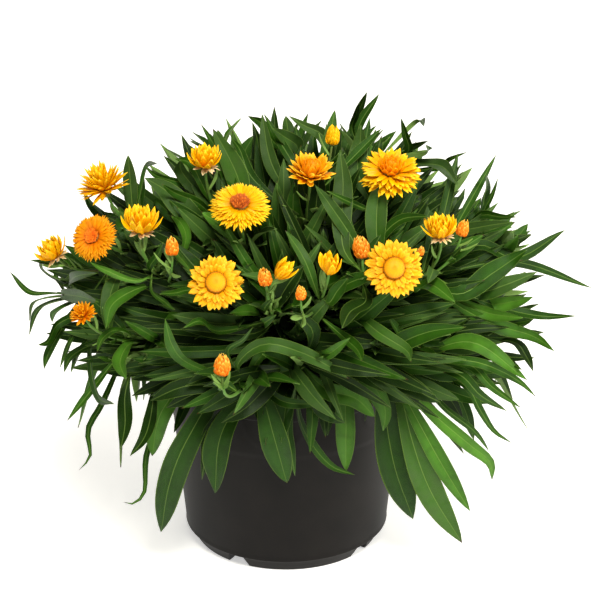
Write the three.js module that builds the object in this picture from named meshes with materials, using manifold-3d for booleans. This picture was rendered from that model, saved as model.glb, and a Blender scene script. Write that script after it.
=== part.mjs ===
// A potted strawflower: a domed, leafy plant with yellow and orange papery heads in a black nursery pot.
// Millimetres, +Z up. The origin is under the middle of the foliage, on the surface that the pot stands on.
import * as THREE from "three";
import { mergeVertices } from "three/addons/utils/BufferGeometryUtils.js";
import Module from "manifold-3d";

const wasm = await Module();
wasm.setup();

// Pot: an 8 inch nursery pot.
const POT_HEIGHT = 163;
const RIM_RADIUS = 101;
const RIM_BAND = 18;
const WALL_TOP_RADIUS = 97;
const WALL_FOOT_RADIUS = 84.5;
const WALL = 2;
const FOOT_HEIGHT = 11.3;
const FOOT_INSET = 2;
const FOOT_RADIUS = 76.5;
const FOOT_WIDTH = 8;
const FLOOR_TOP = 13.3;
const FOOT_GAP = 16;
const FOOT_GAP_ANGLES = [-30, 51, 150, 231];
const DRAIN_RADIUS = 6;
const DRAIN_CIRCLE = 48;
const DRAINS = 5;
const POT_SIDES = 40;

// Soil, a little under the rim.
const SOIL_TOP = 148;
const CLEARANCE = 0.3;
const BLADE_CLEARANCE = 0.45;

// Shoots.
const STEM_RADIUS = 1.7;
const STEM_SIDES = 5;
const STEM_STEPS = 7;
const STEM_FOOT_SHARE = 0.33;
const STEM_RISE = 0.5;
const STEM_LIFT = 12;
const STEM_LEAN = 0.28;
const FORK_SHARE = 0.62;
const FORK_LEAN = 0.35;
const LEAVES_FROM = 0.3;
const LEAVES_TO = 0.97;
const LEAF_PLACES = 0.04;
const LEAF_STAGGER = 0.035;
const LEAF_TURNS = 5;
const LEAF_DEPTH = 0.18;
const LEAFY_DEPTH = 0.85;
const TOO_FAR_OUT = 200;
const TURN_COST = 1.2;
const HIDDEN_WIDTH = 0.3;
const SHARP_TURN = 1.1;
const BLADE_SIDES = 3;
const BLADE_STEPS = 5;
const BLADE_THICKNESS = 1.6;
const FRAME_STEPS = 35; // a multiple of BLADE_STEPS and STEM_STEPS
const SURE_ACROSS = 0.5;
const TURN_SHARE = 0.02;

// The foliage is a dome about the pot's axis.
const DOME = { centre: new THREE.Vector3(11, 0, 210), radii: new THREE.Vector3(236, 205, 168) };

// The view that heads and leaves are placed from: places are read in a frame of 600 by 600 pixels.
const VIEW = { distance: 1800, elevation: 23, focal: 2222, target: new THREE.Vector3(11.4, 0, 206.4), middle: 300 };
const TILT = THREE.MathUtils.degToRad(VIEW.elevation);
const RIGHT = new THREE.Vector3(1, 0, 0);
const UPWARD = new THREE.Vector3(0, Math.sin(TILT), Math.cos(TILT));
const TOWARDS = new THREE.Vector3(0, -Math.cos(TILT), Math.sin(TILT));
const EYE = VIEW.target.clone().addScaledVector(TOWARDS, VIEW.distance);

const COLOURS = { pot: 0x2b2927, soil: 0x3a2a1e, leaf: 0x2f5a1a, golden: 0xf9b800, pale: 0xffe04a, orange: 0xe07a1e };

// The direction from the eye through a pixel.
function rayThrough(px, py) {
  return TOWARDS.clone()
    .multiplyScalar(-VIEW.focal)
    .addScaledVector(RIGHT, px - VIEW.middle)
    .addScaledVector(UPWARD, VIEW.middle - py)
    .normalize();
}

// The point seen at a pixel, a given distance in front of the pot's axis.
function seenInFront(px, py, front) {
  const ray = rayThrough(px, py);
  return EYE.clone().addScaledVector(ray, (-front - EYE.y) / ray.y);
}

// The point seen at a pixel on the dome, at a share of its radii.
function seenOnDome(px, py, share) {
  const ray = rayThrough(px, py).divide(DOME.radii);
  const start = EYE.clone().sub(DOME.centre).divide(DOME.radii);
  const a = ray.dot(ray);
  const b = start.dot(ray);
  const inside = b * b - a * (start.dot(start) - share * share);
  const reach = (-b - Math.sqrt(Math.max(inside, 0))) / a;
  return start.addScaledVector(ray, reach).multiply(DOME.radii).add(DOME.centre);
}

// A place is [px, py] on the dome, or [px, py, millimetres in front of the pot's axis].
function placed([px, py, front], share) {
  return front === undefined ? seenOnDome(px, py, share) : seenInFront(px, py, front);
}

// How far out a point lies, as a share of the dome's radii.
function shareOf(point) {
  return point.clone().sub(DOME.centre).divide(DOME.radii).length();
}

// A repeatable number from 0 to 1, and one from a range.
function chance(seed) {
  const wave = Math.sin(seed * 12.9898 + 4.1414) * 43758.5453;
  return wave - Math.floor(wave);
}

function between([low, high], seed) {
  return low + (high - low) * chance(seed);
}

// Heads: kind, pixel place, width across in mm, and the way it faces as [right, up, towards the viewer].
const HEADS = [
  { kind: "half", at: [101, 181], width: 36, faces: [-0.35, 0.85, 0.4], colour: "golden" },
  { kind: "open", at: [93, 237], width: 41, faces: [-0.35, 0.25, 0.9], colour: "orange" },
  { kind: "half", at: [51, 249], width: 24, faces: [-0.5, 0.7, 0.4], colour: "golden" },
  { kind: "half", at: [141, 220], width: 29, faces: [0.1, 0.85, 0.45], colour: "golden" },
  { kind: "half", at: [205, 157], width: 25, faces: [0, 0.8, 0.5], colour: "golden" },
  { kind: "open", at: [240, 205], width: 51, faces: [0.02, 0.64, 0.76], colour: "golden" },
  { kind: "open", at: [216, 283], width: 45, faces: [0.02, 0.15, 0.98], colour: "pale" },
  { kind: "bud", at: [172, 246], width: 12, faces: [0, 0.9, 0.4], colour: "orange" },
  { kind: "bud", at: [265, 277], width: 12, faces: [-0.1, 0.8, 0.6], colour: "orange" },
  { kind: "half", at: [282, 271], width: 20, faces: [0.5, 0.6, 0.5], colour: "golden" },
  { kind: "half", at: [311, 167], width: 31, faces: [0.05, 0.75, 0.6], colour: "pale" },
  { kind: "bud", at: [333, 135], width: 13, faces: [0.1, 0.9, 0.3], colour: "golden" },
  { kind: "open", at: [390, 172], width: 49, faces: [0, 0.72, 0.68], colour: "golden" },
  { kind: "half", at: [440, 227], width: 25, faces: [-0.1, 0.85, 0.5], colour: "golden" },
  { kind: "bud", at: [463, 228], width: 11, faces: [0.2, 0.9, 0.3], colour: "orange" },
  { kind: "bud", at: [361, 247, 128], width: 15, faces: [-0.1, 0.9, 0.3], colour: "orange" },
  { kind: "open", at: [394, 268], width: 47, faces: [0.02, 0.02, 1], colour: "pale" },
  { kind: "half", at: [330, 266], width: 21, faces: [0.1, 0.7, 0.7], colour: "golden" },
  { kind: "bud", at: [301, 293], width: 9, faces: [0, 0.9, 0.4], colour: "orange" },
  { kind: "bud", at: [421, 251], width: 6, faces: [0.2, 0.9, 0.3], colour: "orange" },
  { kind: "half", at: [82, 312], width: 18, faces: [-0.3, 0.7, 0.6], colour: "orange" },
  { kind: "bud", at: [222, 365], width: 14, faces: [0, 1, 0.2], colour: "orange" },
];

// Heads on the side away from the view, placed in mm from the pot's axis, with the way each faces.
const FAR_HEADS = [
  { kind: "open", point: [-105, 134, 240], width: 44, facing: [-0.35, 0.6, 0.72], colour: "golden" },
  { kind: "half", point: [-15, 170, 226], width: 30, facing: [0, 0.6, 0.8], colour: "golden" },
  { kind: "open", point: [95, 142, 236], width: 46, facing: [0.3, 0.62, 0.72], colour: "pale" },
  { kind: "bud", point: [168, 92, 214], width: 14, facing: [0.5, 0.3, 0.8], colour: "orange" },
];

// A head's back, in widths behind its middle, is where its stem ends.
const HEAD_BACK = { open: 0.17, half: 0.38, bud: 0.62 };

// Pairs of heads that share one forked shoot: the second is on the side stem.
const FORKS = new Map([[2, 3], [4, 8], [9, 10], [11, 12], [14, 15], [17, 20], [18, 19], [24, 23]]);

// Tips of the leafy shoots that carry no head, as places or as points in mm from the pot's axis.
const LEAFY_TIPS = [
  { at: [57, 293, 15] },
  { at: [124, 372, 104] },
  { point: [-150, 72, 228] },
  { at: [300, 372, 128] },
  { at: [408, 368, 118] },
  { at: [478, 345, 62] },
  { at: [498, 266, 0] },
  { at: [372, 146, -20] },
  { point: [40, 158, 226] },
  { point: [-75, 150, 222] },
  { point: [150, 60, 222] },
  { point: [-58, 64, 316] },
  { point: [62, 70, 318] },
  { point: [4, 22, 334] },
];

// Leaves seen in the view: width in mm, then places from the tip to where the leaf goes out of sight.
const SEEN_LEAVES = [
  [11, [128, 155], [130, 178], [130, 198]],
  [5, [157, 163], [146, 168], [140, 195]],
  [10, [83, 190], [90, 203], [100, 213]],
  [5, [30, 260], [46, 266], [75, 270]],
  [8, [201, 124], [210, 130], [217, 150], [235, 190]],
  [17, [213, 129], [225, 150], [240, 185]],
  [8, [231, 138], [240, 150], [250, 175]],
  [11, [180, 160], [182, 172], [183, 188]],
  [8, [175, 159], [190, 163], [200, 180], [207, 200]],
  [6, [144, 165], [155, 175], [170, 180], [190, 186]],
  [17, [145, 178], [165, 190], [188, 213]],
  [8, [162, 184], [175, 193], [198, 203]],
  [8, [171, 216], [180, 222], [186, 238]],
  [5, [90, 262], [105, 270], [138, 281]],
  [8, [248, 116], [262, 124], [272, 140]],
  [11, [262, 114], [264, 130], [272, 165]],
  [7, [264, 114], [276, 127], [290, 158]],
  [12, [272, 128], [283, 136], [297, 146]],
  [11, [289, 116], [305, 126], [320, 133], [330, 150], [331, 190]],
  [10, [335, 110], [342, 112], [348, 125], [352, 170]],
  [5, [359, 103], [356, 115], [352, 130]],
  [6, [367, 92], [369, 100], [366, 110], [355, 125]],
  [7, [379, 94], [372, 105], [358, 130]],
  [15, [361, 125], [360, 145], [358, 172]],
  [8, [381, 129], [390, 130], [375, 150]],
  [6, [401, 118], [405, 134], [408, 152]],
  [6, [424, 126], [419, 121], [408, 130], [395, 148]],
  [5, [428, 141], [419, 145], [408, 150]],
  [7, [426, 145], [427, 152], [427, 164]],
  [11, [458, 185], [441, 166], [418, 164]],
  [16, [385, 176], [378, 198], [378, 250]],
  [15, [340, 150], [343, 180], [344, 250]],
  [10, [315, 185], [330, 205], [356, 247]],
  [5, [327, 191], [345, 200], [368, 193]],
  [8, [430, 216], [400, 220], [378, 242]],
  [8, [458, 153], [467, 160], [476, 190], [470, 215]],
  [5, [467, 152], [450, 159], [441, 167]],
  [6, [460, 165], [455, 174], [450, 185]],
  [7, [486, 174], [487, 186], [484, 200]],
  [7, [496, 155], [506, 180], [495, 213]],
  [5, [498, 178], [492, 195], [483, 212]],
  [7, [517, 217], [500, 217], [480, 216]],
  [10, [514, 222], [492, 225], [470, 229]],
  [12, [518, 235], [512, 242], [503, 250]],
  [10, [565, 230], [566, 238], [560, 250], [545, 262], [515, 258], [480, 245]],
  [7, [592, 288], [580, 288], [570, 278], [560, 271], [515, 262]],
  [16, [527, 250], [515, 258], [490, 275], [460, 294]],
  [13, [537, 272], [505, 285], [480, 292]],
  [13, [533, 297], [515, 301], [490, 304]],
  [10, [523, 318], [505, 316], [485, 312]],
  [8, [577, 316], [570, 321], [540, 316], [480, 300]],
  [5, [533, 319], [522, 322], [508, 324]],
  [11, [554, 351], [535, 337], [488, 322]],
  [13, [527, 380], [525, 360], [500, 336], [470, 342]],
  [8, [533, 371], [526, 356], [514, 342]],
  [8, [522, 370], [508, 360], [488, 350]],
  [7, [536, 397], [520, 382], [480, 363], [455, 360]],
  [8, [507, 411], [480, 395], [460, 375]],
  [7, [521, 408], [490, 385], [470, 365]],
  [6, [512, 443], [495, 432], [480, 410], [465, 385]],
  [4, [10, 272], [15, 282], [30, 292], [50, 293]],
  [3, [29, 321], [37, 300], [50, 295]],
  [5, [29, 335], [40, 308], [50, 298]],
  [6, [52, 322], [55, 312], [58, 302]],
  [4, [41, 255], [45, 272], [54, 290]],
  [8, [98, 273], [75, 277], [57, 290]],
  [10, [100, 300], [82, 296], [62, 294]],
  [7, [38, 345], [48, 342], [57, 325], [75, 314]],
  [7, [44, 369], [50, 350], [56, 333]],
  [4, [60, 368], [65, 354], [71, 340]],
  [7, [64, 372], [73, 355], [100, 342]],
  [6, [71, 372], [75, 362], [79, 352]],
  [6, [67, 421], [72, 400], [85, 355]],
  [7, [114, 404], [97, 395], [90, 350]],
  [10, [106, 328], [112, 305], [132, 291]],
  [7, [97, 352], [103, 338], [115, 330], [135, 330]],
  [11, [126, 379], [120, 362], [128, 345]],
  [8, [125, 321], [137, 327], [152, 336]],
  [5, [79, 470], [90, 457], [88, 430], [103, 402]],
  [11, [121, 448], [125, 425], [125, 395]],
  [10, [130, 456], [143, 440], [150, 420]],
  [5, [123, 502], [132, 504], [143, 495], [147, 452]],
  [16, [152, 456, 88], [160, 415, 104], [178, 383, 98]],
  [22, [161, 532, 84], [170, 482, 108], [187, 440, 118], [224, 386, 104]],
  [7, [202, 480, 114], [205, 455, 118], [208, 430, 118]],
  [21, [215, 493, 112], [222, 432, 124], [230, 386, 108]],
  [21, [287, 483, 106], [272, 430, 122], [262, 393, 112]],
  [7, [295, 476, 104], [291, 450, 112], [288, 428, 118]],
  [8, [324, 404, 136], [303, 417, 140], [285, 402, 136], [262, 372, 122]],
  [11, [243, 399, 128], [244, 392, 126], [246, 382, 120]],
  [11, [349, 379, 152], [345, 386, 152], [325, 364, 158], [300, 352, 160], [265, 344, 160], [238, 364, 150]],
  [10, [303, 366, 138], [270, 358, 140], [240, 366, 130]],
  [15, [346, 471, 100], [346, 430, 116], [348, 393, 112]],
  [7, [355, 475, 98], [330, 465, 106], [300, 420, 116]],
  [11, [345, 423, 126], [333, 418, 128], [320, 408, 122]],
  [15, [375, 417, 128], [355, 398, 132], [326, 389, 124]],
  [16, [383, 431, 124], [385, 408, 128], [362, 366, 122]],
  [26, [413, 519, 84], [393, 460, 104], [385, 392, 112]],
  [21, [462, 543, 88], [430, 490, 106], [412, 440, 118], [400, 390, 112]],
  [14, [470, 511, 92], [445, 470, 110], [420, 425, 122], [400, 387, 114]],
  [11, [492, 480, 84], [490, 462, 94], [470, 445, 104], [440, 420, 112], [405, 386, 116]],
  [5, [489, 451, 80], [475, 432, 92], [445, 408, 104], [425, 387, 104]],
  [10, [474, 440, 72], [465, 410, 84], [455, 388, 84]],
  [11, [463, 420, 88], [448, 396, 96], [430, 374, 96]],
  [6, [464, 454, 74], [452, 436, 84], [440, 418, 90]],
  [11, [411, 362], [407, 351], [378, 332]],
  [15, [466, 327], [432, 331], [405, 341]],
  [13, [455, 302], [430, 284], [417, 288]],
  [9, [428, 283], [433, 270], [430, 256]],
  [10, [348, 278], [338, 290], [328, 303]],
  [13, [342, 328], [350, 312], [366, 300]],
  [8, [350, 338], [341, 345], [330, 353]],
  [9, [362, 361], [358, 351], [348, 341]],
  [5, [193, 273], [184, 262], [172, 252]],
  [6, [163, 242], [158, 255], [150, 269]],
  [5, [159, 294], [175, 293], [190, 290]],
  [4, [175, 310], [166, 303], [151, 288]],
  [10, [165, 319], [172, 345], [186, 362]],
  [7, [183, 328], [200, 321], [216, 331]],
  [4, [253, 327], [243, 340], [228, 351]],
  [6, [273, 298], [264, 309], [254, 321]],
  [7, [276, 315], [264, 323], [250, 333]],
];

// Leaves that hang over the rim on the side away from the view, from a rule.
const FAR_SKIRT = {
  leaves: 24,
  from: -10,
  to: 190,
  ringRadius: 92,
  ringHeight: 176,
  tipRadius: [132, 200],
  tipHeight: [58, 154],
  width: [10.5, 19.5],
  arch: [14, 24],
  sway: 14,
  jitter: 5,
};

// Leaves that fill each shoot, spiralling up its stem.
const FILL = {
  near: 2,
  far: 7,
  from: 0.42,
  to: 0.95,
  turn: 137.5,
  length: [62, 96],
  width: 13,
  middle: [0.45, 0.34],
  tip: [0.9, 0.3],
  outwards: 0.8,
  hidden: 0.1,
  shorten: 6,
  least: 30,
};
const FILL_REACH = { near: 0.8, far: 0.97 };
const FAR_SHOOT = 10;
const RIM_ROOM = 8;

// Turns a closed geometry into a solid.
function solidFrom(geometry) {
  const bare = geometry.index ? geometry.toNonIndexed() : geometry.clone();
  bare.deleteAttribute("normal");
  bare.deleteAttribute("uv");
  const merged = mergeVertices(bare, 1e-3);
  return new wasm.Manifold(
    new wasm.Mesh({
      numProp: 3,
      vertProperties: merged.attributes.position.array,
      triVerts: new Uint32Array(merged.index.array),
    }),
  );
}

function geometryFrom(solid) {
  const mesh = solid.getMesh();
  const points = new Float32Array(mesh.numVert * 3);
  for (let i = 0; i < mesh.numVert; i++) {
    points.set(mesh.vertProperties.subarray(i * mesh.numProp, i * mesh.numProp + 3), i * 3);
  }
  const geometry = new THREE.BufferGeometry();
  geometry.setAttribute("position", new THREE.BufferAttribute(points, 3));
  geometry.setIndex(new THREE.BufferAttribute(new Uint32Array(mesh.triVerts), 1));
  geometry.computeVertexNormals();
  return geometry;
}

// The way across a curve at even steps along it, worked out from its far end: at right angles to the curve and
// to the way that its upper side looks, and never turning suddenly where the curve runs along that way.
function sidesAlong(curve, face) {
  const sides = [];
  let last = null;
  for (let i = FRAME_STEPS; i >= 0; i--) {
    const tangent = curve.getTangentAt(i / FRAME_STEPS);
    const across = new THREE.Vector3().crossVectors(face, tangent);
    const sureness = Math.min(across.length() / SURE_ACROSS, 1);
    across.normalize();
    if (last) {
      const carried = last.clone().addScaledVector(tangent, -last.dot(tangent)).normalize();
      if (carried.dot(across) < 0) across.negate();
      across.lerp(carried, 1 - sureness * TURN_SHARE);
      across.addScaledVector(tangent, -across.dot(tangent)).normalize();
    }
    sides[i] = across;
    last = across;
  }
  return sides;
}

// Lays a shape whose length is along Y, from -1 to 1 or by its pole angle, on a curve.
// sizeAt gives the half width and half thickness at a share of the length, face is the way that the upper
// side looks, and extra lengthens both ends.
function laidOn(geometry, shareAlong, curve, face, extra, sizeAt) {
  const positions = geometry.attributes.position;
  const sides = sidesAlong(curve, face);
  const vertex = new THREE.Vector3();
  for (let i = 0; i < positions.count; i++) {
    vertex.fromBufferAttribute(positions, i);
    const share = shareAlong(vertex.y);
    const across = Math.hypot(vertex.x, vertex.z);
    const tangent = curve.getTangentAt(share);
    const side = sides[Math.round(share * FRAME_STEPS)];
    const upper = new THREE.Vector3().crossVectors(tangent, side);
    const [halfWidth, halfThickness] = sizeAt(share);
    const spread = across > 1e-6 ? 1 / across : 0;
    const beyond = share < 0.01 ? -extra : share > 0.99 ? extra : 0;
    const point = curve.getPointAt(share).addScaledVector(tangent, beyond);
    point.addScaledVector(side, vertex.x * spread * halfWidth);
    point.addScaledVector(upper, -vertex.z * spread * halfThickness);
    positions.setXYZ(i, point.x, point.y, point.z);
  }
  return geometry;
}

// Width of a lance-shaped blade along its length, as a share of its greatest width.
function bladeShare(share) {
  return 0.2 * (1 - share) + Math.pow(Math.sin(Math.PI * Math.pow(share, 1.35)), 0.85);
}

// A blade, three-sided with its midrib as the keel. extra makes it larger, its thin edges most.
function bladeSolid(leaf, extra) {
  const poleShare = (y) => 1 - Math.acos(THREE.MathUtils.clamp(y, -1, 1)) / Math.PI;
  const edgeReach = Math.cos(Math.PI / 6);
  const narrowed = (share) => HIDDEN_WIDTH + (1 - HIDDEN_WIDTH) * Math.min(share / leaf.seenFrom, 1);
  const sizeAt = (share) => [
    ((leaf.width / 2) * bladeShare(share) * narrowed(share) * (1 + extra / 2) + extra) / edgeReach,
    (BLADE_THICKNESS / 2) * Math.sqrt(Math.max(1 - share * share, 0.05)) + 1.5 * extra,
  ];
  const shape = new THREE.SphereGeometry(1, BLADE_SIDES, BLADE_STEPS).rotateY(Math.PI / 2);
  return solidFrom(laidOn(shape, poleShare, leaf.curve, leaf.face, extra, sizeAt));
}

function stemSolid(curve, extra) {
  const radius = STEM_RADIUS + extra;
  const shape = new THREE.CylinderGeometry(1, 1, 2, STEM_SIDES, STEM_STEPS);
  const face = new THREE.Vector3(0.3, -1, 0.2).normalize();
  return solidFrom(laidOn(shape, (y) => (y + 1) / 2, curve, face, 0, () => [radius, radius]));
}

// Where the wall's outside is at a height.
function wallRadius(z) {
  const share = (z - FOOT_HEIGHT) / (POT_HEIGHT - RIM_BAND - FOOT_HEIGHT);
  return WALL_FOOT_RADIUS + (WALL_TOP_RADIUS - WALL_FOOT_RADIUS) * share;
}

function potSolid() {
  const bandFoot = POT_HEIGHT - RIM_BAND;
  const outline = [
    [0, FLOOR_TOP - WALL],
    [FOOT_RADIUS - FOOT_WIDTH, FLOOR_TOP - WALL],
    [FOOT_RADIUS - FOOT_WIDTH, 0],
    [FOOT_RADIUS, 0],
    [WALL_FOOT_RADIUS - FOOT_INSET, FOOT_HEIGHT],
    [WALL_FOOT_RADIUS, FOOT_HEIGHT],
    [wallRadius(bandFoot), bandFoot],
    [RIM_RADIUS - 1, bandFoot],
    [RIM_RADIUS, POT_HEIGHT],
    [RIM_RADIUS - WALL, POT_HEIGHT],
    [RIM_RADIUS - WALL - 1, bandFoot + WALL],
    [wallRadius(bandFoot) - WALL, bandFoot],
    [wallRadius(FLOOR_TOP) - WALL, FLOOR_TOP],
    [0, FLOOR_TOP],
  ].map(([radius, z]) => new THREE.Vector2(radius, z));
  let pot = solidFrom(new THREE.LatheGeometry(outline, POT_SIDES).rotateX(Math.PI / 2));
  for (const angle of FOOT_GAP_ANGLES) {
    const gap = new THREE.BoxGeometry(FOOT_GAP, 4 * FOOT_WIDTH, FLOOR_TOP - WALL);
    gap.translate(0, -FOOT_RADIUS, (FLOOR_TOP - WALL) / 2 - 1);
    gap.rotateZ(THREE.MathUtils.degToRad(angle));
    pot = pot.subtract(solidFrom(gap));
  }
  for (let i = 0; i < DRAINS; i++) {
    const drain = new THREE.CylinderGeometry(DRAIN_RADIUS, DRAIN_RADIUS, 4 * WALL, 12);
    drain.rotateX(Math.PI / 2).translate(DRAIN_CIRCLE, 0, FLOOR_TOP - WALL / 2);
    drain.rotateZ((i * 2 * Math.PI) / DRAINS);
    pot = pot.subtract(solidFrom(drain));
  }
  return pot;
}

function soilSolid() {
  const foot = FLOOR_TOP + CLEARANCE;
  const bandFoot = POT_HEIGHT - RIM_BAND;
  const outline = [
    [0, foot],
    [wallRadius(foot) - WALL - 2 * CLEARANCE, foot],
    [wallRadius(bandFoot) - WALL - 2 * CLEARANCE, bandFoot],
    [wallRadius(bandFoot) - WALL - 2 * CLEARANCE, SOIL_TOP],
    [0, SOIL_TOP],
  ].map(([radius, z]) => new THREE.Vector2(radius, z));
  return solidFrom(new THREE.LatheGeometry(outline, POT_SIDES).rotateX(Math.PI / 2));
}

// Half outlines of a head across its axis, in widths: [radius, height above its middle].
const HEAD_OUTLINES = {
  open: [[0, -0.16], [0.14, -0.15], [0.34, -0.06], [0.5, 0.05], [0.46, 0.09], [0.22, 0.1], [0.14, 0.17], [0, 0.19]],
  half: [[0, -0.37], [0.18, -0.34], [0.34, -0.14], [0.5, 0.24], [0.3, 0.4], [0, 0.44]],
  bud: [[0, -0.61], [0.3, -0.5], [0.5, -0.12], [0.42, 0.36], [0.2, 0.68], [0, 0.74]],
};
const HEAD_SIDES = 10;

function headSolid(head, extra) {
  const outline = HEAD_OUTLINES[head.kind].map(([radius, height], i, all) => {
    const pole = i === 0 ? -extra : i === all.length - 1 ? extra : 0;
    return new THREE.Vector2(radius > 0 ? radius * head.width + extra : 0, height * head.width + pole);
  });
  const shape = new THREE.LatheGeometry(outline, HEAD_SIDES);
  const turn = new THREE.Quaternion().setFromUnitVectors(new THREE.Vector3(0, 1, 0), head.facing);
  shape.applyQuaternion(turn).translate(head.middle.x, head.middle.y, head.middle.z);
  return solidFrom(shape);
}

function facingOf([right, up, towards]) {
  return new THREE.Vector3()
    .addScaledVector(RIGHT, right)
    .addScaledVector(UPWARD, up)
    .addScaledVector(TOWARDS, towards)
    .normalize();
}

// Every head with its middle, facing and the point behind it where the stem ends.
const heads = [
  ...HEADS.map((row) => ({ ...row, middle: placed(row.at, 1), facing: facingOf(row.faces) })),
  ...FAR_HEADS.map((row) => ({
    ...row,
    middle: new THREE.Vector3(...row.point),
    facing: new THREE.Vector3(...row.facing).normalize(),
  })),
];
for (const head of heads) {
  head.back = head.middle.clone().addScaledVector(head.facing, -head.width * HEAD_BACK[head.kind] - CLEARANCE);
}

// A stem that leaves the soil upright and reaches its end from the way that the end faces.
function stemCurve(end, facing) {
  const foot = new THREE.Vector3(end.x * STEM_FOOT_SHARE, end.y * STEM_FOOT_SHARE, SOIL_TOP + CLEARANCE);
  const rise = (end.z - foot.z) * STEM_RISE + STEM_LIFT;
  const lean = end.distanceTo(foot) * STEM_LEAN;
  const high = foot.clone().add(new THREE.Vector3(0, 0, rise));
  return new THREE.CubicBezierCurve3(foot, high, end.clone().addScaledVector(facing, -lean), end);
}

// A side stem that leaves a stem part of the way up.
function sideCurve(stem, end, facing) {
  const foot = stem.getPointAt(FORK_SHARE);
  const along = stem.getTangentAt(FORK_SHARE);
  const reach = end.distanceTo(foot) * FORK_LEAN;
  return new THREE.CubicBezierCurve3(
    foot,
    foot.clone().addScaledVector(along, reach),
    end.clone().addScaledVector(facing, -reach),
    end,
  );
}

// Shoots: a main stem, a side stem where one forks, and the leaves that grow on them.
const forkSeconds = new Set(FORKS.values());
const shoots = [];
heads.forEach((head, i) => {
  const number = i + 1;
  if (forkSeconds.has(number)) return;
  const stems = [stemCurve(head.back, head.facing)];
  if (FORKS.has(number)) {
    const second = heads[FORKS.get(number) - 1];
    stems.push(sideCurve(stems[0], second.back, second.facing));
  }
  shoots.push({ stems, leaves: [] });
});
for (const tip of LEAFY_TIPS) {
  const end = tip.at ? placed(tip.at, LEAFY_DEPTH) : new THREE.Vector3(...tip.point);
  const facing = end.clone().sub(DOME.centre).divide(DOME.radii).normalize();
  shoots.push({ stems: [stemCurve(end, facing)], leaves: [] });
}

// The shoot and the point on it where a leaf grows: near the nearest that isn't further out than the leaf
// and lies behind it, with the leaves that would share a point staggered down the stem.
function growthPoint(base, next) {
  const onwards = next.clone().sub(base).normalize();
  let best = { cost: Infinity };
  for (const shoot of shoots) {
    for (const stem of shoot.stems) {
      for (let share = LEAVES_FROM; share < LEAVES_TO; share += LEAF_PLACES) {
        const point = stem.getPointAt(share);
        const outwards = shareOf(point) > shareOf(base) ? TOO_FAR_OUT : 0;
        const turn = 1 - base.clone().sub(point).normalize().dot(onwards);
        const cost = point.distanceTo(base) * (1 + TURN_COST * turn) + outwards;
        if (cost < best.cost) best = { cost, shoot, stem, share };
      }
    }
  }
  const lower = best.share - LEAF_STAGGER * (best.shoot.leaves.length % LEAF_TURNS);
  return { shoot: best.shoot, point: best.stem.getPointAt(Math.max(lower, LEAVES_FROM)) };
}

// The points without those where a line through them would turn sharply.
function withoutSharpTurns(points) {
  const kept = points.slice();
  let i = 1;
  while (i < kept.length - 1) {
    const before = kept[i].clone().sub(kept[i - 1]);
    const after = kept[i + 1].clone().sub(kept[i]);
    if (before.angleTo(after) > SHARP_TURN) {
      kept.splice(i, 1);
      i = 1;
    } else {
      i += 1;
    }
  }
  return kept;
}

function growLeaf(width, points, face) {
  const last = points.length - 1;
  const { shoot, point } = growthPoint(points[last], points[last - 1]);
  const through = withoutSharpTurns([point, ...points.slice().reverse()]);
  const curve = new THREE.CatmullRomCurve3(through, false, "centripetal");
  const shown = points[last].distanceTo(points[0]);
  const hidden = points[last].distanceTo(point);
  shoot.leaves.push({ width, curve, face, seenFrom: hidden / (hidden + shown) });
}

for (const [width, ...places] of SEEN_LEAVES) {
  const last = places.length - 1;
  const points = places.map((place, i) => placed(place, 1 - (LEAF_DEPTH * i) / last));
  growLeaf(width, points, TOWARDS);
}

// Leaves over the rim on the far side.
for (let i = 0; i < FAR_SKIRT.leaves; i++) {
  const share = i / (FAR_SKIRT.leaves - 1);
  const jitter = FAR_SKIRT.jitter * (chance(i + 20) - 0.5);
  const middle = FAR_SKIRT.from + (FAR_SKIRT.to - FAR_SKIRT.from) * share + jitter;
  const sway = FAR_SKIRT.sway * (chance(i + 60) - 0.5);
  const tipRadius = between(FAR_SKIRT.tipRadius, i + 1);
  const tipHeight = between(FAR_SKIRT.tipHeight, i + 40);
  const [archOut, archUp] = FAR_SKIRT.arch;
  const at = (radius, height, turned) => {
    const angle = THREE.MathUtils.degToRad(middle + turned);
    return new THREE.Vector3(radius * Math.cos(angle), radius * Math.sin(angle), height);
  };
  const points = [
    at(tipRadius, tipHeight, sway),
    at((tipRadius + FAR_SKIRT.ringRadius) / 2 + archOut, (tipHeight + FAR_SKIRT.ringHeight) / 2 + archUp, sway / 3),
    at(FAR_SKIRT.ringRadius + archOut, FAR_SKIRT.ringHeight + archUp / 3, 0),
    at(FAR_SKIRT.ringRadius, FAR_SKIRT.ringHeight, 0),
  ];
  growLeaf(between(FAR_SKIRT.width, i + 80), points, at(1, 0.8, 0).normalize());
}

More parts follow.
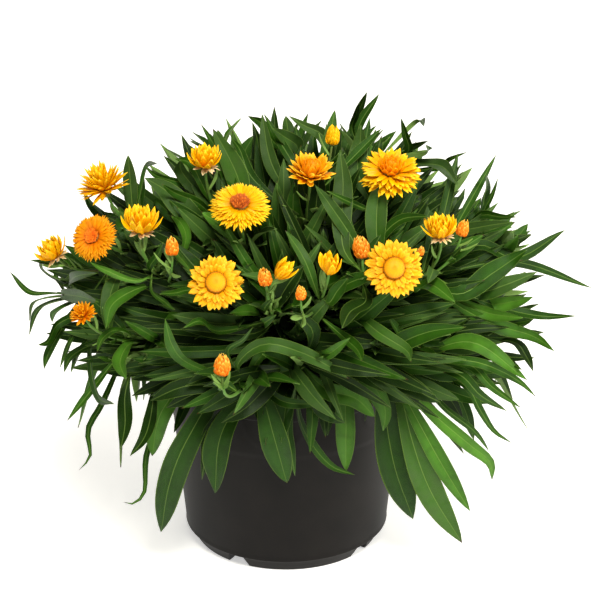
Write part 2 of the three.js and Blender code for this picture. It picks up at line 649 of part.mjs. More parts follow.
// Leaves that fill each shoot, kept inside the leaves that are seen.
shoots.forEach((shoot, i) => {
  const stem = shoot.stems[0];
  const count = stem.v3.y > FAR_SHOOT ? FILL.far : FILL.near;
  for (let j = 0; j < count; j++) {
    const seed = i * 17 + j * 3 + 5;
    const share = FILL.from + ((FILL.to - FILL.from) * j) / (count - 1);
    const point = stem.getPointAt(share);
    const angle = THREE.MathUtils.degToRad(FILL.turn * (j + 1) + 360 * chance(seed));
    const outwards = point.clone().sub(DOME.centre).setZ(0).normalize();
    const out = new THREE.Vector3(Math.cos(angle), Math.sin(angle), 0)
      .addScaledVector(outwards, FILL.outwards)
      .normalize();
    const reach = out.y < 0 ? FILL_REACH.near : FILL_REACH.far;
    let length = between(FILL.length, seed + 1);
    const at = ([along, up]) => point.clone().addScaledVector(out, length * along).setZ(point.z + length * up);
    while (length > FILL.least && shareOf(at(FILL.tip)) > reach) length -= FILL.shorten;
    if (shareOf(at(FILL.tip)) > reach) continue;
    const points = [point, at(FILL.middle), at(FILL.tip)];
    if (points.some((p) => p.z < POT_HEIGHT + RIM_ROOM)) continue;
    const curve = new THREE.CatmullRomCurve3(points, false, "centripetal");
    shoot.leaves.push({ width: FILL.width, curve, face: out.clone().setZ(1).normalize(), seenFrom: FILL.hidden });
  }
});

// Whether the boxes of two solids meet.
function boxesMeet(a, b) {
  const one = a.boundingBox();
  const two = b.boundingBox();
  return [0, 1, 2].every((k) => one.min[k] <= two.max[k] && two.min[k] <= one.max[k]);
}

// A solid with what it shares with its neighbours taken off.
function clearOf(solid, neighbours) {
  let left = solid;
  for (const other of neighbours) {
    if (!boxesMeet(left, other)) continue;
    const cut = left.subtract(other);
    left.delete();
    left = cut;
  }
  return left;
}

// The body of a solid that holds a point's surroundings: the one nearest to it.
function bodyAt(solid, inside) {
  const bodies = solid.decompose();
  return bodies.find((body) => !body.intersect(inside).isEmpty()) ?? bodies[0];
}

const root = new THREE.Group();
function addPiece(name, solid, colour, roughness) {
  const material = new THREE.MeshStandardMaterial({ color: colour, roughness, metalness: 0 });
  const mesh = new THREE.Mesh(geometryFrom(solid), material);
  mesh.name = name;
  root.add(mesh);
}

const numbered = (name, i) => name + "_" + String(i + 1).padStart(2, "0");

const pot = potSolid();
const soil = soilSolid();
addPiece("pot", pot, COLOURS.pot, 0.6);
addPiece("soil", soil, COLOURS.soil, 1);
heads.forEach((head, i) => addPiece(numbered("head", i), headSolid(head, 0), COLOURS[head.colour], 0.55));

// Leaves give way to the pot, the heads, the stems of other shoots and the leaves that are already there.
const kept = [pot, ...heads.map((head) => headSolid(head, CLEARANCE))];
const stemSolids = shoots.map((shoot) => shoot.stems.map((stem) => stemSolid(stem, CLEARANCE)));
const placedLeaves = [];
shoots.forEach((shoot, i) => {
  const otherStems = stemSolids.filter((_, j) => j !== i).flat();
  const neighbours = [...kept, ...otherStems, ...placedLeaves];
  const core = shoot.stems.map((stem) => stemSolid(stem, 0)).reduce((a, b) => a.add(b));
  const blades = shoot.leaves.map((leaf) => clearOf(bladeSolid(leaf, 0), neighbours));
  const whole = blades.reduce((a, b) => a.add(b), core);
  const body = bodyAt(whole, stemSolid(shoot.stems[0], -1));
  addPiece(numbered("shoot", i), body, COLOURS.leaf, 0.7);
  placedLeaves.push(...shoot.leaves.map((leaf) => bladeSolid(leaf, BLADE_CLEARANCE)));
});

// The origin is under the middle of the whole.
const box = new THREE.Box3().setFromObject(root);
root.position.set(-(box.min.x + box.max.x) / 2, -(box.min.y + box.max.y) / 2, 0);

export default root;
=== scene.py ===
"""A potted strawflower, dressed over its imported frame.

Everything is placed in millimetres about the pot's axis, as the solids were, and is turned to metres in
the row's frame only when a mesh is made. Heads and leaves that the photograph shows are placed by where
they are seen in its 600 by 600 frame, on or inside the dome that the foliage fills.
"""

import logging
import math
from dataclasses import dataclass, field, replace
from enum import Enum
from functools import partialmethod
from typing import Iterable, Sequence

import bpy
import numpy as np
from bpy.types import ID, Material, Mesh, Node, NodeSocket, NodeTree, Object
from mathutils import Matrix, Vector


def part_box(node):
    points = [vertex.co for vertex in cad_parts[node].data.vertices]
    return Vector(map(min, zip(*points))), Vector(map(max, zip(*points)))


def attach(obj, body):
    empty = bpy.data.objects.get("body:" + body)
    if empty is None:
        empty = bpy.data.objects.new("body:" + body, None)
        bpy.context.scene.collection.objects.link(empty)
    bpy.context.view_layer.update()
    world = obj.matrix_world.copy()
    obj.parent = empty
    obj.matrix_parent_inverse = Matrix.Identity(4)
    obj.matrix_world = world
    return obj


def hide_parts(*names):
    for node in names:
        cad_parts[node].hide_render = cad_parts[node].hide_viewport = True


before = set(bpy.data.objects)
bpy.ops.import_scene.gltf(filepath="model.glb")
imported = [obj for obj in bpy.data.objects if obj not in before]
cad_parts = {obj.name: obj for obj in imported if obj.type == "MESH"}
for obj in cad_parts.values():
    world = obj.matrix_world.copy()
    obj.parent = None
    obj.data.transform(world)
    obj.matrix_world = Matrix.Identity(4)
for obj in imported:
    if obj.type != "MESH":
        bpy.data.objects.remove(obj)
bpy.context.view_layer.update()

LOG = logging.getLogger("strawflower")
MM = 0.001
GOLDEN_TURN = math.radians(137.5)
FULL_TURN = 6.283  # Rounded, as the plant was first laid out with it.
ON_POINTS = {"data_type": "FLOAT", "domain": "POINT"}
Points = np.ndarray


def linear(colour: str) -> tuple[float, float, float, float]:
    """Turns an sRGB hex colour to the linear colour that shaders use.

    Args:
        colour: Six hex digits after a hash sign.

    Returns:
        Red, green, blue and an alpha of 1.
    """
    parts = [int(colour[i : i + 2], 16) / 255 for i in (1, 3, 5)]
    red, green, blue = (p / 12.92 if p <= 0.04045 else ((p + 0.055) / 1.055) ** 2.4 for p in parts)
    return red, green, blue, 1.0


def add_node(tree: NodeTree, kind: str, inputs: dict | None = None, **settings) -> Node:
    """Adds a node with its settings, links and values.

    Args:
        tree: The tree that gets the node.
        kind: The node's type name.
        inputs: Input name or number to a socket or term that is linked, or a value that is set.
        settings: The node's own properties.

    Returns:
        The new node.
    """
    node = tree.nodes.new(kind)
    for name, value in settings.items():
        setattr(node, name, value)
    for key, value in (inputs or {}).items():
        value = value.value if isinstance(value, Term) else value
        if isinstance(value, NodeSocket):
            tree.links.new(value, node.inputs[key])
        else:
            node.inputs[key].default_value = value
    return node


@dataclass(frozen=True)
class Term:
    """A number in a node tree, which makes Math nodes as it is reckoned with."""

    tree: NodeTree
    value: NodeSocket | float

    def apply(self, operation: str, *others: "Term | float") -> "Term":
        """Joins this term and others by one Math node."""
        node = add_node(self.tree, "ShaderNodeMath", dict(enumerate((self, *others))), operation=operation)
        return Term(self.tree, node.outputs[0])

    __add__ = partialmethod(apply, "ADD")
    __sub__ = partialmethod(apply, "SUBTRACT")
    __mul__ = partialmethod(apply, "MULTIPLY")
    __truediv__ = partialmethod(apply, "DIVIDE")
    __pow__ = partialmethod(apply, "POWER")

    def to(self, end: "Term", share: "Term") -> "Term":
        """The value at a share of the way from this term to another."""
        return self + (end - self) * share


def chance(seed: float) -> float:
    """A repeatable number from 0 to 1."""
    wave = math.sin(seed * 12.9898 + 4.1414) * 43758.5453
    return wave - math.floor(wave)


class Dice:
    """Repeatable numbers, drawn one after another from evenly spaced seeds."""

    def __init__(self, seed: float, step: float) -> None:
        """Starts at a seed."""
        self.seed = seed
        self.step = step

    def throw(self, low: float = 0.0, high: float = 1.0) -> float:
        """The next number, from a range."""
        luck = chance(self.seed)
        self.seed += self.step
        return low + (high - low) * luck

    def pick(self, choices: Sequence) -> object:
        """The next choice."""
        return choices[int(len(choices) * self.throw())]


def about_axis(radius: float, degrees: float, height: float) -> Points:
    """A point about the pot's axis."""
    turn = math.radians(degrees)
    return np.array([radius * math.cos(turn), radius * math.sin(turn), height])


def unit(vector: Sequence[float] | Points) -> Points:
    """A vector's direction."""
    array = np.asarray(vector, float)
    return array / max(float(np.linalg.norm(array)), 1e-9)


@dataclass(frozen=True)
class View:
    """The photograph's view, in millimetres about the pot's axis."""

    distance: float = 1800.0
    elevation: float = math.radians(23.0)
    focal_px: float = 2222.0
    middle_px: float = 300.0
    target: tuple[float, float, float] = (11.4, 0.0, 206.4)
    sensor: float = 36.0
    right: Points = field(default_factory=lambda: np.array([1.0, 0.0, 0.0]))

    @property
    def upward(self) -> Points:
        """The way that is up in the picture."""
        return np.array([0.0, math.sin(self.elevation), math.cos(self.elevation)])

    @property
    def towards(self) -> Points:
        """The way from the object to the viewer."""
        return np.array([0.0, -math.cos(self.elevation), math.sin(self.elevation)])

    @property
    def eye(self) -> Points:
        """Where the viewer is."""
        return np.array(self.target) + self.towards * self.distance

    def ray(self, px: float, py: float) -> Points:
        """The direction from the eye through a pixel."""
        across = self.right * (px - self.middle_px)
        return unit(across + self.upward * (self.middle_px - py) - self.towards * self.focal_px)

    def seen(self, point: Points) -> tuple[float, float, float]:
        """How far in front of the eye a point is, and the pixel that shows it."""
        ray = self.eye - point
        depth = float(ray @ self.towards)
        scale = self.focal_px / depth
        px = self.middle_px - float(ray @ self.right) * scale
        return depth, px, self.middle_px + float(ray @ self.upward) * scale

    def direction(self, right: float, up: float, towards: float) -> Points:
        """A direction given as the viewer sees it."""
        return unit(self.right * right + self.upward * up + self.towards * towards)


@dataclass(frozen=True)
class Dome:
    """The dome that the foliage fills, about the pot's axis, in millimetres."""

    centre: tuple[float, float, float] = (11.0, 0.0, 210.0)
    radii: tuple[float, float, float] = (236.0, 205.0, 168.0)

    def share(self, point: Points) -> float:
        """How far out a point lies, as a share of the radii."""
        return float(np.linalg.norm((np.asarray(point) - self.centre) / np.array(self.radii)))

    def outward(self, point: Points) -> Points:
        """The way that the dome faces near a point."""
        return unit((np.asarray(point) - self.centre) / np.array(self.radii))


VIEW = View()
DOME = Dome()


def placed(place: Sequence[float], share: float) -> Points:
    """The point that a place in the photograph stands for.

    Args:
        place: px and py, and where the depth is known also the millimetres in front of the pot's axis.
        share: Where no depth is given, the share of the dome's radii that the point lies at.

    Returns:
        The point, in millimetres about the pot's axis.
    """
    ray = VIEW.ray(place[0], place[1])
    if len(place) == 3:
        return VIEW.eye + ray * ((-place[2] - VIEW.eye[1]) / ray[1])
    radii = np.array(DOME.radii)
    way, start = ray / radii, (VIEW.eye - DOME.centre) / radii
    a, b = float(way @ way), float(start @ way)
    inside = b * b - a * (float(start @ start) - share * share)
    reach = (-b - math.sqrt(max(inside, 0.0))) / a
    return (start + way * reach) * radii + DOME.centre


@dataclass(frozen=True)
class Path:
    """A smooth line, kept as closely spaced points."""

    points: Points
    lengths: Points

    @classmethod
    def of(cls, points: Points) -> "Path":
        """Measures a line that is given as points."""
        steps = np.linalg.norm(np.diff(points, axis=0), axis=1)
        return cls(points, np.concatenate([[0.0], np.cumsum(steps)]))

    @classmethod
    def bezier(cls, points: Sequence[Points], steps: int = 120) -> "Path":
        """A cubic curve from its four control points."""
        t = np.linspace(0, 1, steps)[:, None]
        a, b, c, d = (np.asarray(p, float) for p in points)
        return cls.of((1 - t) ** 3 * a + 3 * (1 - t) ** 2 * t * b + 3 * (1 - t) * t**2 * c + t**3 * d)

    @classmethod
    def through(cls, points: Sequence[Points], steps: int = 24) -> "Path":
        """A centripetal spline through points.

        Args:
            points: The points, in order.
            steps: How many points of the line there are from one to the next.

        Returns:
            The line.
        """
        line = [np.asarray(p, float) for p in points]
        line = [2 * line[0] - line[1], *line, 2 * line[-1] - line[-2]]
        spans = []
        for p0, p1, p2, p3 in zip(line, line[1:], line[2:], line[3:]):
            ways = (p1 - p0, p2 - p1, p3 - p2)
            d0, d1, d2 = (max(float(np.linalg.norm(way)), 1e-6) ** 0.5 for way in ways)
            start = ((p1 - p0) / d0 - (p2 - p0) / (d0 + d1) + (p2 - p1) / d1) * d1
            end = ((p2 - p1) / d1 - (p3 - p1) / (d1 + d2) + (p3 - p2) / d2) * d1
            t = np.linspace(0, 1, steps, endpoint=False)[:, None]
            spans.append(
                (2 * t**3 - 3 * t**2 + 1) * p1 + (t**3 - 2 * t**2 + t) * start + (3 * t**2 - 2 * t**3) * p2
                + (t**3 - t**2) * end
            )
        return cls.of(np.vstack([*spans, line[-2][None]]))

    @property
    def length(self) -> float:
        """The line's length."""
        return float(self.lengths[-1])

    def at(self, share: float | Points) -> Points:
        """The point or points at a share of the length."""
        where = np.asarray(share) * self.length
        return np.stack([np.interp(where, self.lengths, self.points[:, k]) for k in range(3)], axis=-1)

    def tangents(self, shares: Points) -> Points:
        """The line's directions at shares of the length."""
        low, high = np.clip(shares - 0.02, 0, 1), np.clip(shares + 0.02, 0, 1)
        ways = self.at(high) - self.at(low)
        return ways / np.maximum(np.linalg.norm(ways, axis=1, keepdims=True), 1e-9)


POT_LOW, POT_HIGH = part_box("pot")
POT_AXIS = Vector(((POT_LOW.x + POT_HIGH.x) / 2, (POT_LOW.y + POT_HIGH.y) / 2, POT_LOW.z))


def to_row(points: Points) -> Points:
    """Turns points in millimetres about the pot's axis to metres in the row's frame."""
    return np.asarray(points, float) * MM + np.array(POT_AXIS)


class Sheaf:
    """Gathers many small closed shells in one mesh, with numbers on their points for the material."""

    def __init__(self) -> None:
        """Starts with nothing."""
        self.points: list[Points] = []
        self.faces: list[list[int]] = []
        self.numbers: dict[str, list[Points]] = {}
        self.count = 0

    def add(self, points: Points, faces: Iterable[Points], numbers: dict[str, Points | float]) -> None:
        """Adds one shell.

        Args:
            points: Its points, in millimetres about the pot's axis.
            faces: Tables of point numbers, one table for each count of corners.
            numbers: A number for each point, or one for all, by attribute name.
        """
        self.points.append(points)
        for table in faces:
            self.faces.extend((table + self.count).tolist())
        for name, values in numbers.items():
            self.numbers.setdefault(name, []).append(np.broadcast_to(values, len(points)))
        self.count += len(points)

    def piece(self, name: str, material: Material) -> Object:
        """Makes the piece.

        Args:
            name: The piece's name.
            material: Its finish.

        Returns:
            The new object, at the origin with its place in its mesh.
        """
        mesh = bpy.data.meshes.new(name)
        mesh.from_pydata(to_row(np.vstack(self.points)).tolist(), [], self.faces)
        for key, values in self.numbers.items():
            attribute = mesh.attributes.new(key, "FLOAT", "POINT")
            attribute.data.foreach_set("value", np.concatenate(values).astype(np.float32))
        mesh.shade_smooth()
        mesh.materials.append(material)
        return linked(name, mesh)


def linked(name: str, data: ID) -> Object:
    """A new object in the scene that holds a mesh or a curve."""
    made = bpy.data.objects.new(name, data)
    bpy.context.scene.collection.objects.link(made)
    return made


def new_tree(name: str, whole: Iterable[str], numbers: Iterable[str] = ()) -> tuple[NodeTree, dict]:
    """Starts a geometry tree that takes a geometry, a material and numbers.

    Args:
        name: The tree's name.
        whole: The names of its whole-number inputs.
        numbers: The names of its other number inputs.

    Returns:
        The tree, and its inputs by name, as terms where they are numbers.
    """
    tree = bpy.data.node_groups.new(name, "GeometryNodeTree")
    kinds = {"Geometry": "Geometry", "Material": "Material"}
    kinds.update({label: "Int" for label in whole})
    kinds.update({label: "Float" for label in numbers})
    for label, kind in kinds.items():
        tree.interface.new_socket(label, in_out="INPUT", socket_type=f"NodeSocket{kind}")
    tree.interface.new_socket("Geometry", in_out="OUTPUT", socket_type="NodeSocketGeometry")
    given = {label: add_node(tree, "NodeGroupInput").outputs[label] for label in kinds}
    for label in (*whole, *numbers):
        given[label] = Term(tree, given[label])
    return tree, given


def finished(geometry: NodeSocket, given: dict) -> NodeTree:
    """Ends a tree: smooths, makes copies real, sets the material and gives the result out."""
    tree = geometry.id_data
    smooth = add_node(tree, "GeometryNodeSetShadeSmooth", {"Geometry": geometry})
    real = add_node(tree, "GeometryNodeRealizeInstances", {"Geometry": smooth.outputs[0]})
    inputs = {"Geometry": real.outputs[0], "Material": given["Material"]}
    dressed = add_node(tree, "GeometryNodeSetMaterial", inputs)
    add_node(tree, "NodeGroupOutput", {"Geometry": dressed.outputs[0]})
    return tree


def settled(name: str, piece: Object) -> Object:
    """Puts a plain object with no modifier in the place of a piece.

    Args:
        name: The new object's name.
        piece: The piece, whose modifiers shape its mesh. It is removed.

    Returns:
        The new object.
    """
    bpy.context.view_layer.update()
    graph = bpy.context.evaluated_depsgraph_get()
    ready = piece.evaluated_get(graph)
    mesh = bpy.data.meshes.new_from_object(ready, preserve_all_data_layers=True, depsgraph=graph)
    mesh.name = name
    bpy.data.objects.remove(piece)
    return linked(name, mesh)


def grown(name: str, tree: NodeTree, inputs: dict, mesh: Mesh | None = None) -> Object:
    """Runs a geometry tree once and keeps its result as a plain mesh.

    Args:
        name: The new object's name.
        tree: The tree.
        inputs: A value for each named input.
        mesh: The mesh that the tree starts from, if any.

    Returns:
        An object with the finished mesh and no modifier.
    """
    seed = linked(name + "_seed", mesh or bpy.data.meshes.new(name + "_seed"))
    modifier = seed.modifiers.new(tree.name, "NODES")
    modifier.node_group = tree
    for item in tree.interface.items_tree:
        if item.item_type == "SOCKET" and item.in_out == "INPUT" and item.name in inputs:
            modifier[item.identifier] = inputs[item.name]
    return settled(name, seed)


def kept(piece: Object, slot: str, *nodes: str) -> None:
    """Puts a piece on the root body, in place of the solids that it stands for."""
    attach(piece, "root")
    if nodes:
        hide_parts(*nodes)
    LOG.info("%s: %d faces", piece.name, len(piece.data.polygons))


class Tone(Enum):
    """How light a leaf is painted, its own tone mixed with painted light and shade, and how much painted
    grey sheen it has.
    """

    DEEP = (0.0, 0.0)
    MID = (0.4, 0.0)
    GREY = (0.4, 1.0)
    BRIGHT = (0.8, 0.0)
    PALE = (1.0, 0.2)


@dataclass(frozen=True)
class Leaf:
    """One leaf: its midrib, from the stem to the tip, and how its blade lies about it.

    Hidden is the share of it that is out of sight. Turning is how fast its blade may turn to face its own
    way, and where the midrib makes an angle with that way whose sine is under firm, it turns more slowly.
    """

    path: Path
    width: float
    face: Points
    tone: Tone
    luck: float
    fold: float = math.radians(17)
    roll: float = 0.0
    twist: float = 0.0
    wave: float = 0.7
    hidden: float = 0.1
    turning: float = 0.7
    firm: float = 0.5

    def sides(self, shares: Points) -> Points:
        """The way across the blade at shares of its length, which never turns suddenly.

        Args:
            shares: Evenly spaced, from the stem to the tip.

        Returns:
            Unit vectors at right angles to the midrib, worked out from the tip.
        """
        ahead = self.path.tangents(shares)
        side = np.cross(self.face, ahead)
        long = np.linalg.norm(side, axis=1, keepdims=True)
        side /= np.maximum(long, 1e-9)
        pull = self.turning / len(shares) * np.minimum(long / self.firm, 1)
        for i in range(len(shares) - 2, -1, -1):
            carried = unit(side[i + 1] - ahead[i] * (side[i + 1] @ ahead[i]))
            own = side[i] if side[i] @ carried > 0 else -side[i]
            mixed = carried + (own - carried) * pull[i]
            side[i] = unit(mixed - ahead[i] * (mixed @ ahead[i]))
        return side


@dataclass(frozen=True)
class Habit:
    """The ranges that blades' lie is drawn from: fold, roll and twist in degrees, and wave in mm."""

    fold: tuple[float, float] | None = (10, 24)
    roll: float = 20
    twist: float = 25
    wave: tuple[float, float] | None = None

    def draw(self, dice: Dice) -> dict[str, float]:
        """Draws a leaf's luck and how its blade lies."""
        lie = {"luck": dice.throw()}
        if self.fold:
            lie["fold"] = math.radians(dice.throw(*self.fold))
        lie["roll"] = math.radians(dice.throw(-self.roll, self.roll))
        lie["twist"] = math.radians(dice.throw(-self.twist, self.twist))
        if self.wave:
            lie["wave"] = dice.throw(*self.wave)
        return lie


@dataclass(frozen=True)
class Blade:
    """The closed sheet that leaves are laid out from: an upper and an under skin that meet at the edge.

    Across says where its lines of points run, from edge to edge, and steps how many points each has.
    Thickness, groove and keel are in millimetres; rib is the share of the blade that groove and keel take.
    """

    across: tuple[float, ...]
    steps: int
    thickness: float = 0.45
    groove: float = 0.3
    keel: float = 0.55
    keel_length: float = 1.15
    rib: float = 0.2
    foot: float = 0.2
    tip: float = 0.02
    fullest: float = 1.35
    fullness: float = 0.85
    hidden_width: float = 0.3
    ripples: float = 13.0
    ripple_shift: float = 2.2
    ripple_mm: float = 6.0

    def faces(self) -> list[Points]:
        """The sheet's four-cornered and three-cornered faces, upper points first."""
        row, last = len(self.across), self.steps - 1
        upper = np.arange(self.steps * row).reshape(self.steps, row)
        under = upper.copy()
        under[:, 1:-1] = self.steps * row + np.arange(self.steps * (row - 2)).reshape(self.steps, row - 2)
        strips, corners = [], []
        for skin, turned in ((upper, False), (under, True)):
            quads = np.stack([skin[:-1, :-1], skin[1:, :-1], skin[1:, 1:], skin[:-1, 1:]], axis=-1)
            strips.append(quads.reshape(-1, 4)[:, ::-1] if turned else quads.reshape(-1, 4))
        for i, turned in ((0, False), (last, True)):
            quads = np.stack([upper[i, 1:-2], upper[i, 2:-1], under[i, 2:-1], under[i, 1:-2]], axis=-1)
            near, far = [upper[i, 0], upper[i, 1], under[i, 1]], [upper[i, -2], upper[i, -1], under[i, -2]]
            threes = np.array([near, far])
            strips.append(quads[:, ::-1] if turned else quads)
            corners.append(threes[:, ::-1] if turned else threes)
        return [np.vstack(strips), np.vstack(corners)]

    def half_width(self, leaf: Leaf, along: Points) -> Points:
        """Half a leaf's width along it: narrow at both ends, and narrower where it is out of sight."""
        swell = np.sin(np.pi * along**self.fullest).clip(0) ** self.fullness
        half = leaf.width / 2 * (self.foot * (1 - along) + swell + self.tip)
        return half * (self.hidden_width + (1 - self.hidden_width) * np.minimum(along / leaf.hidden, 1))

    def lay(self, leaf: Leaf, sheaf: Sheaf) -> None:
        """Lays one leaf out and adds it to a sheaf.

        Args:
            leaf: The leaf.
            sheaf: What gathers the shoot's leaves.
        """
        shares, across = np.linspace(0, 1, self.steps), np.array(self.across)
        along, side = shares[:, None], leaf.sides(shares)
        upper = np.cross(leaf.path.tangents(shares), side)
        turn = leaf.roll + leaf.twist * (along - 0.5)
        side, upper = side * np.cos(turn) + upper * np.sin(turn), upper * np.cos(turn) - side * np.sin(turn)
        half, middle = self.half_width(leaf, along), np.clip(1 - np.abs(across) / self.rib, 0, 1)
        spread = half * across * math.cos(leaf.fold)
        ripple = np.sin(FULL_TURN * leaf.luck + self.ripples * along + self.ripple_shift * np.sign(across))
        lift = half * np.abs(across) * math.sin(leaf.fold) - self.groove * middle * (1 - along)
        lift += leaf.wave * ripple * across**2 * np.sqrt(half / self.ripple_mm)
        skin = self.thickness * (1 - across**4) + self.keel * middle * (self.keel_length - along)
        top = side[:, None] * spread[..., None] + upper[:, None] * lift[..., None]
        top += leaf.path.at(shares)[:, None]
        under = (top - upper[:, None] * skin[..., None])[:, 1:-1]
        places = {"across": across, "along": along, "mm_across": half * across}
        places["mm_along"] = along * leaf.path.length
        numbers = {}
        for name, values in places.items():
            table = np.broadcast_to(values, spread.shape)
            numbers[f"leaf_{name}"] = np.concatenate([table.ravel(), table[:, 1:-1].ravel()])
        numbers["leaf_under"] = np.repeat((0.0, 1.0), (spread.size, spread[:, 1:-1].size))
        # Lightness, partly painted light and shade, and the amount of painted grey sheen, from the leaf's
        # tone.
        numbers["leaf_light"], numbers["leaf_painted_sheen"] = leaf.tone.value
        numbers["leaf_luck"] = leaf.luck
        sheaf.add(np.vstack([top.reshape(-1, 3), under.reshape(-1, 3)]), self.faces(), numbers)


SEEN_BLADE = Blade((-1, -0.93, -0.66, -0.33, -0.1, 0, 0.1, 0.33, 0.66, 0.93, 1), 20)
FILL_BLADE = Blade((-1, -0.9, -0.5, -0.12, 0, 0.12, 0.5, 0.9, 1), 12)


class Kind(Enum):
    """How far a head has opened, with how far behind its middle its stem ends, in widths."""

    OPEN = 0.17
    HALF = 0.38
    BUD = 0.62


class Tint(Enum):
    """What colour a head's bracts are, each with a name."""

    GOLDEN = "golden_bracts"
    PALE = "pale_bracts"
    ORANGE = "orange_bracts"


class Form(Enum):
    """What a head looks like, with its kind."""

    DAISY = ("open, with a disc of florets", Kind.OPEN)
    PEAK = ("open, with its inner bracts still together", Kind.OPEN)
    BUTTON = ("open, with its inner bracts shut in a button", Kind.OPEN)
    GOBLET = ("half open, with broad upright bracts", Kind.HALF)
    BOWL = ("half open, with broad spread bracts about a shut heart", Kind.HALF)
    SPRAY = ("half open, with narrow bracts all round", Kind.HALF)
    TULIP = ("just opening, with few long bracts", Kind.HALF)
    BUD = ("shut", Kind.BUD)
    GOLD_BUD = ("shut, as golden as an open head", Kind.BUD)

    @property
    def kind(self) -> Kind:
        """How far it has opened."""
        return self.value[1]


@dataclass(frozen=True)
class Head:
    """One flower head: width in millimetres, and where its middle is and faces."""

    number: int
    form: Form
    tint: Tint
    width: float
    middle: Points
    facing: Points

    @property
    def back(self) -> Points:
        """Where its stem ends."""
        return self.middle - self.facing * (self.width * self.form.kind.value + 0.3)


# Heads that are seen: form, tint, width in mm, place, and the way it faces: right, up, towards the viewer.
SEEN_HEADS = [
    (Form.SPRAY, Tint.GOLDEN, 36, (101, 181), (-0.35, 0.85, 0.4)),
    (Form.DAISY, Tint.ORANGE, 41, (93, 237), (-0.35, 0.25, 0.9)),
    (Form.GOBLET, Tint.GOLDEN, 24, (51, 249), (-0.5, 0.7, 0.4)),
    (Form.GOBLET, Tint.GOLDEN, 29, (141, 220), (0.1, 0.85, 0.45)),
    (Form.GOBLET, Tint.GOLDEN, 25, (205, 157), (0, 0.8, 0.5)),
    (Form.DAISY, Tint.GOLDEN, 51, (240, 205), (0.02, 0.64, 0.76)),
    (Form.BUTTON, Tint.PALE, 45, (216, 283), (0.02, 0.15, 0.98)),
    (Form.BUD, Tint.ORANGE, 12, (172, 246), (0, 0.9, 0.4)),
    (Form.BUD, Tint.ORANGE, 12, (265, 277), (-0.1, 0.8, 0.6)),
    (Form.TULIP, Tint.GOLDEN, 20, (282, 271), (0.5, 0.6, 0.5)),
    (Form.BOWL, Tint.PALE, 31, (311, 167), (0.05, 0.75, 0.6)),
    (Form.GOLD_BUD, Tint.GOLDEN, 13, (333, 135), (0.1, 0.9, 0.3)),
    (Form.PEAK, Tint.GOLDEN, 49, (390, 172), (0, 0.72, 0.68)),
    (Form.GOBLET, Tint.GOLDEN, 25, (440, 227), (-0.1, 0.85, 0.5)),
    (Form.BUD, Tint.ORANGE, 11, (463, 228), (0.2, 0.9, 0.3)),
    (Form.BUD, Tint.ORANGE, 15, (361, 247, 128), (-0.1, 0.9, 0.3)),
    (Form.BUTTON, Tint.PALE, 47, (394, 268), (0.02, 0.02, 1)),
    (Form.TULIP, Tint.GOLDEN, 21, (330, 266), (0.1, 0.7, 0.7)),
    (Form.BUD, Tint.ORANGE, 9, (301, 293), (0, 0.9, 0.4)),
    (Form.BUD, Tint.ORANGE, 6, (421, 251), (0.2, 0.9, 0.3)),
    (Form.SPRAY, Tint.ORANGE, 18, (82, 312), (-0.3, 0.7, 0.6)),
    (Form.BUD, Tint.ORANGE, 14, (222, 365), (0, 1, 0.2)),
]

# Heads on the far side, placed in mm about the pot's axis.
FAR_HEADS = [
    (Form.DAISY, Tint.GOLDEN, 44, (-105, 134, 240), (-0.35, 0.6, 0.72)),
    (Form.GOBLET, Tint.GOLDEN, 30, (-15, 170, 226), (0, 0.6, 0.8)),
    (Form.BUTTON, Tint.PALE, 46, (95, 142, 236), (0.3, 0.62, 0.72)),
    (Form.BUD, Tint.ORANGE, 14, (168, 92, 214), (0.5, 0.3, 0.8)),
]

# The bud that small leaves still wrap.
WRAPPED_BUD = 22

# Pairs of heads that share a forked shoot: the second is on the side stem.
FORKS = {2: 3, 4: 8, 9: 10, 11: 12, 14: 15, 17: 20, 18: 19, 24: 23}

# Tips of the leafy shoots without a head: places that are seen, or millimetres about the pot's axis.
SEEN_TIPS = {
    0: (57, 293, 15), 1: (124, 372, 104), 3: (300, 372, 128), 4: (408, 368, 118), 5: (478, 345, 62),
    6: (498, 266, 0), 7: (372, 146, -20),
}
FAR_TIPS = {
    2: (-150, 72, 228), 8: (40, 158, 226), 9: (-75, 150, 222), 10: (150, 60, 222), 11: (-58, 64, 316),
    12: (62, 70, 318), 13: (4, 22, 334),
}

